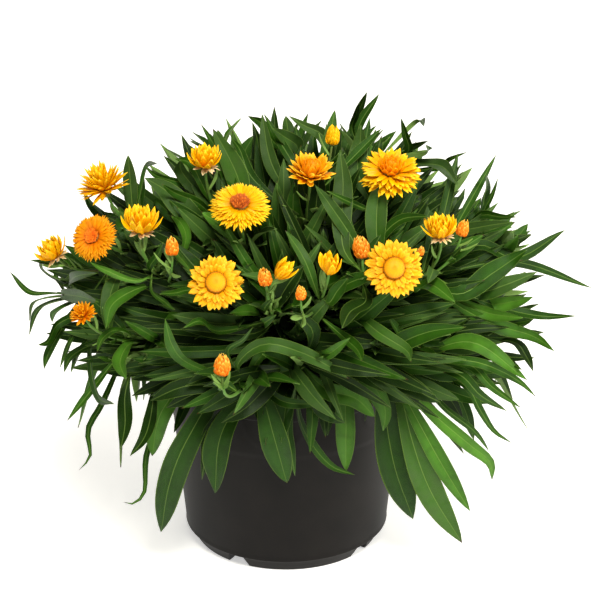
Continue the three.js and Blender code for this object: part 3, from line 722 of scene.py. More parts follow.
# Leaves that are seen: width in mm, tone, then places from the tip to where the leaf goes out of sight.
SEEN_LEAVES = [
    (11, "grey", (128, 155), (130, 178), (130, 198)),
    (5, "mid", (157, 163), (146, 168), (140, 195)),
    (10, "mid", (83, 190), (90, 203), (100, 213)),
    (5, "mid", (30, 260), (46, 266), (75, 270)),
    (8, "mid", (201, 124), (210, 130), (217, 150), (235, 190)),
    (17, "grey", (213, 129), (225, 150), (240, 185)),
    (8, "mid", (231, 138), (240, 150), (250, 175)),
    (11, "grey", (180, 160), (182, 172), (183, 188)),
    (8, "mid", (175, 159), (190, 163), (200, 180), (207, 200)),
    (6, "mid", (144, 165), (155, 175), (170, 180), (190, 186)),
    (17, "grey", (145, 178), (165, 190), (188, 213)),
    (8, "mid", (162, 184), (175, 193), (198, 203)),
    (8, "bright", (171, 216), (180, 222), (186, 238)),
    (5, "pale", (90, 262), (105, 270), (138, 281)),
    (8, "mid", (248, 116), (262, 124), (272, 140)),
    (11, "grey", (262, 114), (264, 130), (272, 165)),
    (7, "mid", (264, 114), (276, 127), (290, 158)),
    (12, "grey", (272, 128), (283, 136), (297, 146)),
    (11, "grey", (289, 116), (305, 126), (320, 133), (330, 150), (331, 190)),
    (10, "mid", (335, 110), (342, 112), (348, 125), (352, 170)),
    (5, "mid", (359, 103), (356, 115), (352, 130)),
    (6, "mid", (367, 92), (369, 100), (366, 110), (355, 125)),
    (7, "mid", (379, 94), (372, 105), (358, 130)),
    (15, "grey", (361, 125), (360, 145), (358, 172)),
    (8, "mid", (381, 129), (390, 130), (375, 150)),
    (6, "mid", (401, 118), (405, 134), (408, 152)),
    (6, "mid", (424, 126), (419, 121), (408, 130), (395, 148)),
    (5, "mid", (428, 141), (419, 145), (408, 150)),
    (7, "mid", (426, 145), (427, 152), (427, 164)),
    (11, "grey", (458, 185), (441, 166), (418, 164)),
    (16, "grey", (385, 176), (378, 198), (378, 250)),
    (15, "grey", (340, 150), (343, 180), (344, 250)),
    (10, "grey", (315, 185), (330, 205), (356, 247)),
    (5, "mid", (327, 191), (345, 200), (368, 193)),
    (8, "mid", (430, 216), (400, 220), (378, 242)),
    (8, "mid", (458, 153), (467, 160), (476, 190), (470, 215)),
    (5, "mid", (467, 152), (450, 159), (441, 167)),
    (6, "bright", (460, 165), (455, 174), (450, 185)),
    (7, "mid", (486, 174), (487, 186), (484, 200)),
    (7, "mid", (496, 155), (506, 180), (495, 213)),
    (5, "mid", (498, 178), (492, 195), (483, 212)),
    (7, "mid", (517, 217), (500, 217), (480, 216)),
    (10, "grey", (514, 222), (492, 225), (470, 229)),
    (12, "pale", (518, 235), (512, 242), (503, 250)),
    (10, "mid", (565, 230), (566, 238), (560, 250), (545, 262), (515, 258), (480, 245)),
    (7, "mid", (592, 288), (580, 288), (570, 278), (560, 271), (515, 262)),
    (16, "mid", (527, 250), (515, 258), (490, 275), (460, 294)),
    (13, "grey", (537, 272), (505, 285), (480, 292)),
    (13, "pale", (533, 297), (515, 301), (490, 304)),
    (10, "pale", (523, 318), (505, 316), (485, 312)),
    (8, "mid", (577, 316), (570, 321), (540, 316), (480, 300)),
    (5, "mid", (533, 319), (522, 322), (508, 324)),
    (11, "bright", (554, 351), (535, 337), (488, 322)),
    (13, "bright", (527, 380), (525, 360), (500, 336), (470, 342)),
    (8, "deep", (533, 371), (526, 356), (514, 342)),
    (8, "mid", (522, 370), (508, 360), (488, 350)),
    (7, "mid", (536, 397), (520, 382), (480, 363), (455, 360)),
    (8, "mid", (507, 411), (480, 395), (460, 375)),
    (7, "mid", (521, 408), (490, 385), (470, 365)),
    (6, "mid", (512, 443), (495, 432), (480, 410), (465, 385)),
    (4, "mid", (10, 272), (15, 282), (30, 292), (50, 293)),
    (3, "mid", (29, 321), (37, 300), (50, 295)),
    (5, "mid", (29, 335), (40, 308), (50, 298)),
    (6, "mid", (52, 322), (55, 312), (58, 302)),
    (4, "mid", (41, 255), (45, 272), (54, 290)),
    (8, "mid", (98, 273), (75, 277), (57, 290)),
    (10, "bright", (98, 302), (82, 297), (62, 294)),
    (7, "mid", (38, 345), (48, 342), (57, 325), (75, 314)),
    (7, "mid", (44, 369), (50, 350), (56, 333)),
    (4, "mid", (60, 368), (65, 354), (71, 340)),
    (7, "mid", (64, 372), (73, 355), (100, 342)),
    (6, "mid", (71, 372), (75, 362), (79, 352)),
    (6, "mid", (67, 421), (72, 400), (85, 355)),
    (7, "mid", (114, 404), (97, 395), (90, 350)),
    (10, "bright", (106, 328), (112, 305), (132, 291)),
    (7, "mid", (97, 352), (103, 338), (115, 330), (135, 330)),
    (11, "pale", (126, 379), (120, 362), (128, 345)),
    (8, "bright", (125, 321), (137, 327), (152, 336)),
    (5, "mid", (79, 470), (90, 457), (88, 430), (103, 402)),
    (11, "deep", (121, 448), (125, 425), (125, 395)),
    (10, "deep", (130, 456), (143, 440), (150, 420)),
    (5, "mid", (123, 502), (132, 504), (143, 495), (147, 452)),
    (16, "bright", (152, 456, 88), (160, 415, 104), (178, 383, 98)),
    (22, "mid", (161, 532, 84), (170, 482, 108), (187, 440, 118), (224, 386, 104)),
    (7, "deep", (202, 480, 114), (205, 455, 118), (208, 430, 118)),
    (21, "mid", (215, 493, 112), (222, 432, 124), (230, 386, 108)),
    (21, "mid", (287, 483, 106), (272, 430, 122), (262, 393, 112)),
    (7, "mid", (295, 476, 104), (291, 450, 112), (288, 428, 118)),
    (8, "mid", (324, 404, 136), (303, 417, 140), (285, 402, 136), (262, 372, 122)),
    (11, "mid", (243, 399, 128), (244, 392, 126), (246, 382, 120)),
    (
        11, "grey", (349, 379, 152), (345, 386, 152), (325, 364, 158), (300, 352, 160), (265, 344, 160),
        (238, 364, 150),
    ),
    (10, "mid", (303, 366, 138), (270, 358, 140), (240, 366, 130)),
    (15, "bright", (346, 471, 100), (346, 430, 116), (348, 393, 112)),
    (7, "mid", (355, 475, 98), (330, 465, 106), (300, 420, 116)),
    (11, "mid", (345, 423, 126), (333, 418, 128), (320, 408, 122)),
    (15, "bright", (375, 417, 128), (355, 398, 132), (326, 389, 124)),
    (16, "pale", (383, 431, 124), (385, 408, 128), (362, 366, 122)),
    (26, "mid", (413, 519, 84), (393, 460, 104), (385, 392, 112)),
    (21, "grey", (462, 543, 88), (430, 490, 106), (412, 440, 118), (400, 390, 112)),
    (14, "bright", (470, 511, 92), (445, 470, 110), (420, 425, 122), (400, 387, 114)),
    (11, "pale", (492, 480, 84), (490, 462, 94), (470, 445, 104), (440, 420, 112), (405, 386, 116)),
    (5, "mid", (489, 451, 80), (475, 432, 92), (445, 408, 104), (425, 387, 104)),
    (10, "mid", (474, 440, 72), (465, 410, 84), (455, 388, 84)),
    (11, "deep", (463, 420, 88), (448, 396, 96), (430, 374, 96)),
    (6, "deep", (464, 454, 74), (452, 436, 84), (440, 418, 90)),
    (11, "grey", (411, 362), (407, 351), (378, 332)),
    (15, "mid", (466, 327), (432, 331), (405, 341)),
    (13, "bright", (455, 302), (430, 284), (417, 288)),
    (9, "grey", (428, 283), (433, 270), (430, 256)),
    (10, "mid", (348, 278), (338, 290), (328, 303)),
    (13, "deep", (342, 328), (350, 312), (366, 300)),
    (8, "bright", (350, 338), (341, 345), (330, 353)),
    (9, "mid", (362, 361), (358, 351), (348, 341)),
    (5, "pale", (193, 273), (184, 262), (172, 252)),
    (6, "mid", (163, 242), (158, 255), (150, 269)),
    (5, "mid", (159, 294), (175, 293), (190, 290)),
    (4, "mid", (175, 310), (166, 303), (151, 288)),
    (10, "bright", (165, 319), (172, 345), (186, 362)),
    (7, "mid", (183, 328), (200, 321), (216, 331)),
    (4, "mid", (253, 327), (243, 340), (228, 351)),
    (6, "mid", (273, 298), (264, 309), (254, 321)),
    (7, "mid", (276, 315), (264, 323), (250, 333)),
]


def all_heads() -> list[Head]:
    """Every head of the plant, in the order of the numbers of the solids that they replace."""
    heads = []
    for form, tint, width, place, faces in SEEN_HEADS:
        heads.append(Head(len(heads) + 1, form, tint, width, placed(place, 1.0), VIEW.direction(*faces)))
    for form, tint, width, point, facing in FAR_HEADS:
        heads.append(Head(len(heads) + 1, form, tint, width, np.array(point, float), unit(facing)))
    return heads


@dataclass
class Shoot:
    """A stem with its side stem and the leaves that grow on them.

    Its holds are the numbers of its heads, grown counts the leaves whose growth point was looked for, and
    seen counts those of them that show.
    """

    number: int
    stems: list[Path]
    near: bool
    holds: list[int] = field(default_factory=list)
    leaves: list[Leaf] = field(default_factory=list)
    grown: int = 0
    seen: int = 0


@dataclass(frozen=True)
class StemShape:
    """How stems run, as shares of the way that they go, and how thick they are in millimetres."""

    soil_top: float = 148.0
    clearance: float = 0.3
    foot_share: float = 0.33
    rise: float = 0.5
    lift: float = 12.0
    lean: float = 0.28
    fork_share: float = 0.62
    fork_lean: float = 0.35
    main_radii: tuple[float, float] = (1.7, 1.05)
    side_radii: tuple[float, float] = (1.15, 0.85)
    steps: int = 22
    sides: int = 8

    def main(self, end: Points, facing: Points) -> Path:
        """A stem that leaves the soil upright and reaches its end from behind."""
        foot = np.array([end[0] * self.foot_share, end[1] * self.foot_share, self.soil_top + self.clearance])
        high = foot + [0, 0, (end[2] - foot[2]) * self.rise + self.lift]
        return Path.bezier([foot, high, end - facing * (np.linalg.norm(end - foot) * self.lean), end])

    def side(self, stem: Path, end: Points, facing: Points) -> Path:
        """A side stem that leaves a stem part of the way up."""
        foot = stem.at(self.fork_share)
        ahead = stem.tangents(np.array([self.fork_share]))[0]
        reach = np.linalg.norm(end - foot) * self.fork_lean
        return Path.bezier([foot, foot + ahead * reach, end - facing * reach, end])

    def lines(self, stems: list[Path]) -> Mesh:
        """The middle lines of a shoot, with how thick each is along its length.

        Args:
            stems: The stem, and its side stem if it has one.

        Returns:
            A mesh of edges, in metres in the row's frame.
        """
        points, edges, radii = [], [], []
        shares = np.linspace(0, 1, self.steps)
        for i, stem in enumerate(stems):
            start = i * self.steps
            points.append(stem.at(shares))
            edges += [(start + k, start + k + 1) for k in range(self.steps - 1)]
            foot, top = self.side_radii if i else self.main_radii
            radii.append((foot + (top - foot) * shares) * MM)
        mesh = bpy.data.meshes.new("stem_lines")
        mesh.from_pydata(to_row(np.vstack(points)).tolist(), edges, [])
        mesh.attributes.new("stem_radius", "FLOAT", "POINT").data.foreach_set("value", np.concatenate(radii))
        return mesh


@dataclass(frozen=True)
class Growth:
    """Where a leaf grows from. Shares are of a stem's length, and costs are in millimetres."""

    first: float = 0.3
    last: float = 0.97
    step: float = 0.04
    turn_cost: float = 1.2
    too_far_out: float = 200.0
    stagger: float = 0.035
    stagger_turns: int = 5
    sharpest: float = 1.1

    def point(self, shoots: list[Shoot], base: Points, following: Points) -> tuple[Shoot, Points]:
        """The shoot and the point on it that a leaf grows from.

        Args:
            shoots: Every shoot.
            base: The innermost point of the leaf that is seen.
            following: The next point of it, towards its tip.

        Returns:
            The shoot, and a point near the nearest that isn't further out and lies behind the leaf. Leaves
            that would share a point are staggered down the stem.
        """
        best = None
        shares = np.arange(self.first, self.last, self.step)
        limit, onwards = DOME.share(base), unit(following - base)
        for shoot in shoots:
            for stem in shoot.stems:
                for share, point in zip(shares, stem.at(shares)):
                    turn = 1 - float(unit(base - point) @ onwards)
                    cost = float(np.linalg.norm(point - base)) * (1 + self.turn_cost * turn)
                    cost += self.too_far_out if DOME.share(point) > limit else 0
                    if best is None or cost < best[0]:
                        best = (cost, shoot, stem, share)
        _, shoot, stem, share = best
        lower = self.stagger * (shoot.grown % self.stagger_turns)
        return shoot, stem.at(max(share - lower, self.first))

    def line(self, points: list[Points]) -> Path:
        """A smooth line through the points that it can pass without a sharp turn.

        Args:
            points: The points, from the stem to the tip.

        Returns:
            The line.
        """
        left, i = list(points), 1
        while i < len(left) - 1:
            before, after = unit(left[i] - left[i - 1]), unit(left[i + 1] - left[i])
            if float(before @ after) < math.cos(self.sharpest):
                del left[i]
                i = 1
            else:
                i += 1
        return Path.through(left)


@dataclass(frozen=True)
class Skirt:
    """Leaves over the rim: how many, the degrees about the axis that they cover, and their draws' seeds."""

    leaves: int
    turns: tuple[float, float]
    seed: int
    seed_step: int
    habit: Habit
    sway: float = 7.0
    jitter: float = 2.5


@dataclass(frozen=True)
class Collar:
    """Small leaves near the end of a stem: how many, where, how long, and how far they spread, as shares."""

    leaves: int
    shares: tuple[float, float]
    length: tuple[float, float]
    spread: float
    tone: Tone
    even: bool = False
    width: tuple[float, float] = (2.6, 4.6)
    wave: float = 0.2

    def leaf(self, stem: Path, j: int, dice: Dice) -> Leaf:
        """One of its leaves.

        Args:
            stem: The stem that it grows on.
            j: Which leaf it is, up the stem.
            dice: Where its draws come from.

        Returns:
            The leaf.
        """
        share = dice.throw(*self.shares)
        if self.even:
            share = self.shares[0] + (self.shares[1] - self.shares[0]) * j / (self.leaves - 1)
        base, ahead = stem.at(share), stem.tangents(np.array([share]))[0]
        turn = j * GOLDEN_TURN + dice.throw(0, FULL_TURN)
        around = unit(np.cross(ahead, [math.cos(turn), math.sin(turn), 0.2]))
        length = dice.throw(*self.length)
        points = [base, base + (ahead * 0.4 + around * self.spread * 0.55) * length]
        points.append(base + (ahead * 0.85 + around * self.spread) * length)
        width, face = dice.throw(*self.width), unit(around - ahead * 0.3)
        return Leaf(Path.through(points), width, face, self.tone, dice.throw(), wave=self.wave)


@dataclass
class Foliage:
    """The plant's stems and leaves, laid out as the solids are, and filled more densely. Millimetres."""

    heads: list[Head]
    stems: StemShape = StemShape()
    growth: Growth = Growth()
    rim_height: float = 163.0
    near_limit: float = 10.0
    leaf_depth: float = 0.18
    leafy_depth: float = 0.85
    seen_seed: int = 300
    seen_habit: Habit = Habit(roll=18, twist=28, wave=(0.3, 1.0))
    near_skirt: Skirt = Skirt(46, (-172, -8), 5100, 100, Habit(twist=24))
    far_skirt: Skirt = Skirt(24, (-10, 190), 900, 10, Habit(fold=None, twist=30))
    inner_counts: tuple[int, int] = (420, 240)
    inner_seeds: tuple[int, int] = (2100, 22100)
    inner_habit: Habit = Habit(roll=22, twist=25)
    inner_width: tuple[float, float] = (8, 15)
    collar: Collar = Collar(4, (0.72, 0.9), (12, 24), 0.62, Tone.MID, even=True)
    wrap: Collar = Collar(8, (0.93, 0.99), (13, 19), 0.5, Tone.BRIGHT)
    collar_seed: int = 4000
    fill_counts: tuple[int, int] = (24, 20)
    fill_reaches: tuple[float, float] = (0.84, 0.86)
    fill_length: tuple[float, float] = (56.0, 98.0)
    fill_shortest: float = 26.0
    fill_width: tuple[float, float] = (8.5, 14.5)
    fill_habit: Habit = Habit(fold=(12, 26), roll=25, twist=40, wave=(0.3, 1.1))
    shoots: list[Shoot] = field(default_factory=list)

    def add_shoot(self, stems: list[Path], end: Points, holds: Iterable[int] = ()) -> None:
        """Adds a shoot, which is near if its end is on the viewer's side."""
        self.shoots.append(Shoot(len(self.shoots) + 1, stems, bool(end[1] < self.near_limit), list(holds)))

    def grow_stems(self) -> None:
        """Makes every shoot's stems, in the order of the numbers of the solids that they replace."""
        for head in self.heads:
            if head.number in FORKS.values():
                continue
            stems, holds = [self.stems.main(head.back, head.facing)], [head.number]
            if head.number in FORKS:
                second = self.heads[FORKS[head.number] - 1]
                stems.append(self.stems.side(stems[0], second.back, second.facing))
                holds.append(second.number)
            self.add_shoot(stems, head.middle, holds)
        tips = {number: placed(place, self.leafy_depth) for number, place in SEEN_TIPS.items()}
        tips.update({number: np.array(point, float) for number, point in FAR_TIPS.items()})
        for _, end in sorted(tips.items(), key=lambda tip: tip[0]):
            self.add_shoot([self.stems.main(end, DOME.outward(end))], end)

    def grow_leaf(self, points: list[Points], width: float, face: Points, tone: Tone, lie: dict) -> None:
        """Adds a leaf that is given from its tip inwards.

        Args:
            points: Its points, the tip first.
            width: Its width.
            face: The way that its upper side looks.
            tone: How light it is.
            lie: Its luck, and how its blade lies.
        """
        shoot, point = self.growth.point(self.shoots, points[-1], points[-2])
        hidden = float(np.linalg.norm(points[-1] - point))
        hidden /= hidden + float(np.linalg.norm(points[-1] - points[0]))
        path = self.growth.line([point, *points[::-1]])
        shoot.leaves.append(Leaf(path, width, face, tone, hidden=hidden, **lie))
        shoot.grown += 1

    def grow_seen(self) -> None:
        """Adds the leaves that are seen."""
        for i, (width, tone, *places) in enumerate(SEEN_LEAVES):
            last = len(places) - 1
            points = [placed(place, 1 - self.leaf_depth * k / last) for k, place in enumerate(places)]
            lie = self.seen_habit.draw(Dice(i + self.seen_seed, 10))
            self.grow_leaf(points, width, VIEW.towards, Tone[tone.upper()], lie)

    def grow_near_skirt(self) -> None:
        """Adds short leaves that bend over the rim on the near side, in two uneven rows."""
        skirt = self.near_skirt
        first, last = skirt.turns
        for i in range(skirt.leaves):
            dice = Dice(i + skirt.seed, skirt.seed_step)
            middle = first + (last - first) * (i + 0.5) / skirt.leaves
            middle += dice.throw(-skirt.jitter, skirt.jitter)
            sway = dice.throw(-skirt.sway, skirt.sway)
            drop = dice.throw(6, 34) if i % 2 else dice.throw(-14, 8)
            reach = dice.throw(112, 128)
            points = [
                about_axis(reach, middle + sway, self.rim_height - drop),
                about_axis(reach - 10, middle + sway / 3, self.rim_height + 16 - drop / 3),
                about_axis(88, middle, self.rim_height + 17),
            ]
            # Half of these leaves take the deep tone as painted shade, for the shade under the foliage at
            # the rim.
            tone, width = dice.pick((Tone.DEEP, Tone.DEEP, Tone.MID, Tone.MID)), dice.throw(9, 15)
            self.grow_leaf(points, width, unit(about_axis(1, middle, 0.6)), tone, skirt.habit.draw(dice))

    def grow_far_skirt(self) -> None:
        """Adds the leaves that hang over the rim on the far side."""
        skirt = self.far_skirt
        first, last = skirt.turns
        for i in range(skirt.leaves):
            dice = Dice(i + 20, 20)
            middle = first + (last - first) * i / (skirt.leaves - 1)
            middle += dice.throw(-skirt.jitter, skirt.jitter)
            tip_radius, tip_height = Dice(i + 1, 1).throw(132, 200), dice.throw(58, 154)
            sway, width = dice.throw(-skirt.sway, skirt.sway), dice.throw(10.5, 19.5)
            points = [
                about_axis(tip_radius, middle + sway, tip_height),
                about_axis((tip_radius + 92) / 2 + 14, middle + sway / 3, (tip_height + 176) / 2 + 24),
                about_axis(106, middle, 184),
                about_axis(92, middle, 176),
            ]
            tone = (Tone.MID, Tone.BRIGHT, Tone.DEEP)[i % 3]
            lie = skirt.habit.draw(Dice(i + skirt.seed, skirt.seed_step))
            self.grow_leaf(points, width, unit(about_axis(1, middle, 0.8)), tone, lie)

    def grow_inner(self, far: bool) -> None:
        """Adds leaves under the seen ones, spread evenly over one side of the dome.

        Args:
            far: Whether that is the side away from the viewer.
        """
        count, seed, side = self.inner_counts[far], self.inner_seeds[far], -1 if far else 1
        for i in range(count):
            dice = Dice(i + seed, 100)
            turn, lean = (i + seed - self.inner_seeds[0]) * GOLDEN_TURN, math.sqrt((i + 0.5) / count) * 0.985
            flat = [lean * math.cos(turn), lean * math.sin(turn)]
            out = VIEW.direction(*flat, side * math.sqrt(1 - lean * lean))
            sweep = VIEW.direction(flat[0] + dice.throw(-0.25, 0.25), flat[1] + 0.25, 0.0)
            away = unit(out + sweep * dice.throw(0.22, 0.5))
            low, high = dice.throw(0.5, 0.7), dice.throw(0.72, 0.9)
            base, tip = (DOME.centre + way * DOME.radii * share for way, share in ((out, low), (away, high)))
            points = [tip, (base + tip) / 2 + out * dice.throw(2, 9), base]
            if min(p[2] for p in points) < self.rim_height + 6 or self.hides_head(points[:2]):
                continue
            tone = dice.pick((Tone.DEEP, Tone.DEEP, Tone.MID, Tone.GREY))
            width, face = dice.throw(*self.inner_width), unit(out + VIEW.towards * (0.5 * side))
            self.grow_leaf(points, width, face, tone, self.inner_habit.draw(dice))

    def grow_collars(self) -> None:
        """Adds the small leaves near the end of each stem that holds a head."""
        for shoot in self.shoots:
            for stem, number in zip(shoot.stems, shoot.holds):
                collar = self.wrap if number == WRAPPED_BUD else self.collar
                for j in range(collar.leaves):
                    dice = Dice(self.collar_seed + number * 13 + j, 1)
                    shoot.leaves.append(collar.leaf(stem, j, dice))

    def hides_head(self, points: Iterable[Points]) -> bool:
        """Whether any of a leaf's points would lie between the viewer and a head that is seen."""
        for point in points:
            depth, px, py = VIEW.seen(point)
            for head, row in zip(self.heads, SEEN_HEADS):
                reach = head.width * VIEW.focal_px / VIEW.distance / 2 + 7
                nearer = depth < VIEW.seen(head.middle)[0] + 6
                if nearer and math.hypot(px - row[3][0], py - row[3][1]) < reach:
                    return True
        return False

    def filling_leaf(self, shoot: Shoot, j: int, share: float) -> Leaf | None:
        """A leaf that fills a shoot.

        Args:
            shoot: The shoot.
            j: Which of its leaves it is, up the spiral.
            share: How far up the stem it grows.

        Returns:
            The leaf, or None where it would stick out, hang into the pot or hide a head.
        """
        seed = shoot.number * 31 + j * 3.7
        dice = Dice(seed + 1, 1)
        base, ahead = shoot.stems[0].at(share), shoot.stems[0].tangents(np.array([share]))[0]
        angle = j * GOLDEN_TURN + FULL_TURN * chance(shoot.number)
        out = unit([math.cos(angle), math.sin(angle), 0] + unit((base - DOME.centre) * [1, 1, 0]) * 0.75)
        up = unit(ahead * 0.55 + [0, 0, 0.6])
        length = dice.throw(*self.fill_length)
        steep = min(max(share * 1.15 - 0.15 + dice.throw(-0.15, 0.15), 0), 1)
        rise_mid, rise_tip = 0.3 + 0.14 * steep, 0.18 + 0.62 * steep
        out_mid, out_tip = 0.46 - 0.24 * steep, 0.92 - 0.46 * steep
        reach = self.fill_reaches[int(out[1] >= 0)]
        way = out * out_tip + up * rise_tip
        while length > self.fill_shortest and DOME.share(base + way * length) > reach:
            length -= 5
        tip = base + way * length
        points = [base, base + (out * out_mid + up * rise_mid) * length, tip]
        path = Path.through(points)
        low = min(p[2] for p in points) < self.rim_height + 8
        if DOME.share(tip) > reach or low or self.hides_head(path.at(np.linspace(0.15, 1, 7))):
            return None
        dice = Dice(seed + 5, 1)
        width = dice.throw(*self.fill_width) * min(1.0, length / 60)
        tone = dice.pick((Tone.DEEP, Tone.MID, Tone.MID, Tone.GREY, Tone.DEEP, Tone.BRIGHT))
        return Leaf(path, width, unit(up * out_tip - out * rise_tip), tone, **self.fill_habit.draw(dice))

    def fill(self) -> None:
        """Adds the leaves that fill each shoot, spiralling up its stem."""
        for shoot in self.shoots:
            shares = np.linspace(0.3, 0.98, self.fill_counts[not shoot.near])
            leaves = (self.filling_leaf(shoot, j, share) for j, share in enumerate(shares))
            shoot.leaves.extend(leaf for leaf in leaves if leaf)

    def build(self, leaf: Material, stem: Material) -> None:
        """Makes one piece for each shoot.

        Args:
            leaf: The leaves' finish.
            stem: The stems' finish.
        """
        self.grow_stems()
        self.grow_seen()
        self.grow_far_skirt()
        for shoot in self.shoots:
            shoot.seen = shoot.grown
        self.grow_near_skirt()
        self.grow_inner(far=False)
        self.grow_inner(far=True)
        self.grow_collars()
        self.fill()
        tree = stem_tree()
        for shoot in self.shoots:
            sheaf = Sheaf()
            for i, item in enumerate(shoot.leaves):
                (SEEN_BLADE if i < shoot.seen else FILL_BLADE).lay(item, sheaf)
            name = f"leafy_shoot_{shoot.number:02d}"
            inputs = {"Material": stem, "Sides": self.stems.sides}
            stems = grown(f"{name}_stems", tree, inputs, self.stems.lines(shoot.stems))
            kept(joined(name, [sheaf.piece(name, leaf), stems]), "leaf", f"shoot_{shoot.number:02d}")


def joined(name: str, pieces: list[Object]) -> Object:
    """Joins pieces in one object, with their materials and attributes.

    Args:
        name: The joined piece's name.
        pieces: The pieces, the first of which takes the others in.

    Returns:
        The joined object.
    """
    for other in bpy.context.selected_objects:
        other.select_set(False)
    for piece in pieces:
        piece.select_set(True)
    bpy.context.view_layer.objects.active = pieces[0]
    if len(pieces) > 1:
        bpy.ops.object.join()
    pieces[0].name = pieces[0].data.name = name
    return pieces[0]


def stem_tree() -> NodeTree:
    """A round stem along each line of a mesh, as thick as the line's points say."""
    tree, given = new_tree("stem_along_line", ["Sides"])
    radius = add_node(tree, "GeometryNodeInputNamedAttribute", {"Name": "stem_radius"}, data_type="FLOAT")
    line = add_node(tree, "GeometryNodeMeshToCurve", {"Mesh": given["Geometry"]})
    inputs = {"Resolution": given["Sides"], "Radius": 1.0}
    section = add_node(tree, "GeometryNodeCurvePrimitiveCircle", inputs)
    inputs = {"Curve": line.outputs[0], "Profile Curve": section.outputs[0], "Scale": radius.outputs[0]}
    inputs["Fill Caps"] = True
    return finished(add_node(tree, "GeometryNodeCurveToMesh", inputs).outputs[0], given)


@dataclass(frozen=True)
class Spiral:
    """A spiral of bracts. Pairs run from the outermost to the innermost.

    Tilt and bend are in degrees; length, breadth, ring and height are shares of the head's width.
    """

    count: int
    tilt: tuple[float, float]
    bend: tuple[float, float]
    length: tuple[float, float]
    breadth: tuple[float, float]
    ring: tuple[float, float]
    height: tuple[float, float]
    cup: float = 0.5
    loose: float = 1.0
    blunt: float = 1.1
    coat: str = "bract"

    def inputs(self, width: float) -> dict[str, float]:
        """The bract tree's number inputs for a head of this width, in metres."""
        values = {label: getattr(self, label.lower()) for label in ("Count", "Cup", "Loose", "Blunt")}
        for label in BRACT_PAIRS:
            scale = math.pi / 180 if label in ("Tilt", "Bend") else width
            outer, inner = getattr(self, label.lower())
            values[f"{label} Outer"], values[f"{label} Inner"] = outer * scale, inner * scale
        return values


# The bract tree's inputs that run from the outermost bract to the innermost.
BRACT_PAIRS = ("Tilt", "Bend", "Length", "Breadth", "Ring", "Height")

DAISY_ROWS = Spiral(
    230, (97, 74), (0, 6), (0.375, 0.24), (0.058, 0.05), (0.11, 0.125), (-0.04, 0.035),
    cup=0.2, loose=0.42,
)
PEAK_ROWS = Spiral(
    104, (104, 62), (2, 6), (0.385, 0.33), (0.092, 0.085), (0.1, 0.12), (-0.07, 0.02),
    cup=0.3, loose=0.7, blunt=1.3,
)
PEAK_HEART = Spiral(
    34, (46, 8), (-24, -34), (0.25, 0.24), (0.12, 0.11), (0.09, 0.03), (0.0, 0.02),
    cup=-0.2, loose=0.5, coat="peak",
)
BUTTON_RAYS = Spiral(
    54, (97, 84), (2, 10), (0.335, 0.3), (0.115, 0.1), (0.13, 0.15), (-0.06, -0.02),
    cup=0.35, loose=0.9, blunt=1.5,
)
BUTTON_RUFF = Spiral(
    36, (82, 70), (12, 20), (0.22, 0.14), (0.09, 0.075), (0.14, 0.155), (0.0, 0.03),
    cup=0.3, loose=0.8, blunt=1.4,
)
GOBLET_WALL = Spiral(
    40, (66, 10), (-44, -14), (0.72, 0.64), (0.22, 0.18), (0.07, 0.05), (-0.33, -0.3),
    cup=-0.3, loose=0.8, blunt=1.35,
)
BOWL_RAYS = Spiral(
    44, (88, 52), (-22, -30), (0.56, 0.56), (0.17, 0.15), (0.06, 0.08), (-0.28, -0.24),
    cup=0.3, loose=0.9, blunt=1.5,
)
BOWL_HEART = Spiral(
    26, (40, 6), (-52, -30), (0.5, 0.46), (0.2, 0.16), (0.08, 0.04), (-0.25, -0.22),
    cup=-0.35, loose=0.3, coat="heart",
)
SPRAY_ROWS = Spiral(
    96, (104, 8), (-14, -6), (0.5, 0.6), (0.11, 0.1), (0.06, 0.05), (-0.22, -0.2),
    cup=0.3, loose=0.9, blunt=1.3,
)
TULIP_WALL = Spiral(
    13, (36, 10), (-30, -16), (0.86, 0.8), (0.28, 0.24), (0.08, 0.05), (-0.35, -0.33),
    cup=-0.3, loose=0.8, blunt=1.2,
)
DRY_RUFF = Spiral(
    15, (124, 92), (-16, 6), (0.2, 0.34), (0.12, 0.1), (0.07, 0.08), (-0.35, -0.32),
    cup=0.3, loose=1.5, coat="dry",
)
BUD_SCALES = Spiral(
    44, (68, 20), (-66, -50), (0.4, 1.06), (0.3, 0.3), (0.14, 0.17), (-0.56, -0.36),
    cup=-0.2, loose=0.5, coat="scale",
)

SPIRALS = {
    Form.DAISY: (DAISY_ROWS,),
    Form.PEAK: (PEAK_ROWS, PEAK_HEART),
    Form.BUTTON: (BUTTON_RAYS, BUTTON_RUFF),
    Form.GOBLET: (GOBLET_WALL, DRY_RUFF),
    Form.BOWL: (BOWL_RAYS, BOWL_HEART),
    Form.SPRAY: (SPRAY_ROWS,),
    Form.TULIP: (TULIP_WALL,),
    Form.BUD: (BUD_SCALES,),
    Form.GOLD_BUD: (replace(BUD_SCALES, coat="bract"),),
}

# Half outline of the button of shut bracts, in widths: radius, height above the head's middle.
BUTTON = (
    (0, -0.02), (0.125, 0.0), (0.15, 0.02), (0.172, 0.05), (0.176, 0.075), (0.168, 0.1), (0.145, 0.13),
    (0.11, 0.152), (0.06, 0.165), (0.02, 0.167), (0, 0.165),
)

# The disc of florets in an open head, in widths.
DISC = {"Radius": 0.118, "Base": 0.055, "Dome": 0.03, "Floret Radius": 0.012, "Floret Length": 0.045}

# Half outlines of the green cup that holds the bracts, in widths: radius, height above the head's middle.
CUPS = {
    Kind.OPEN: ((0, -0.17), (0.07, -0.165), (0.13, -0.12), (0.15, -0.02), (0.1, 0.06), (0, 0.08)),
    Kind.HALF: ((0, -0.38), (0.06, -0.375), (0.1, -0.33), (0.09, -0.26), (0, -0.22)),
    Kind.BUD: ((0, -0.62), (0.12, -0.6), (0.2, -0.52), (0.2, -0.42), (0, -0.3)),
}


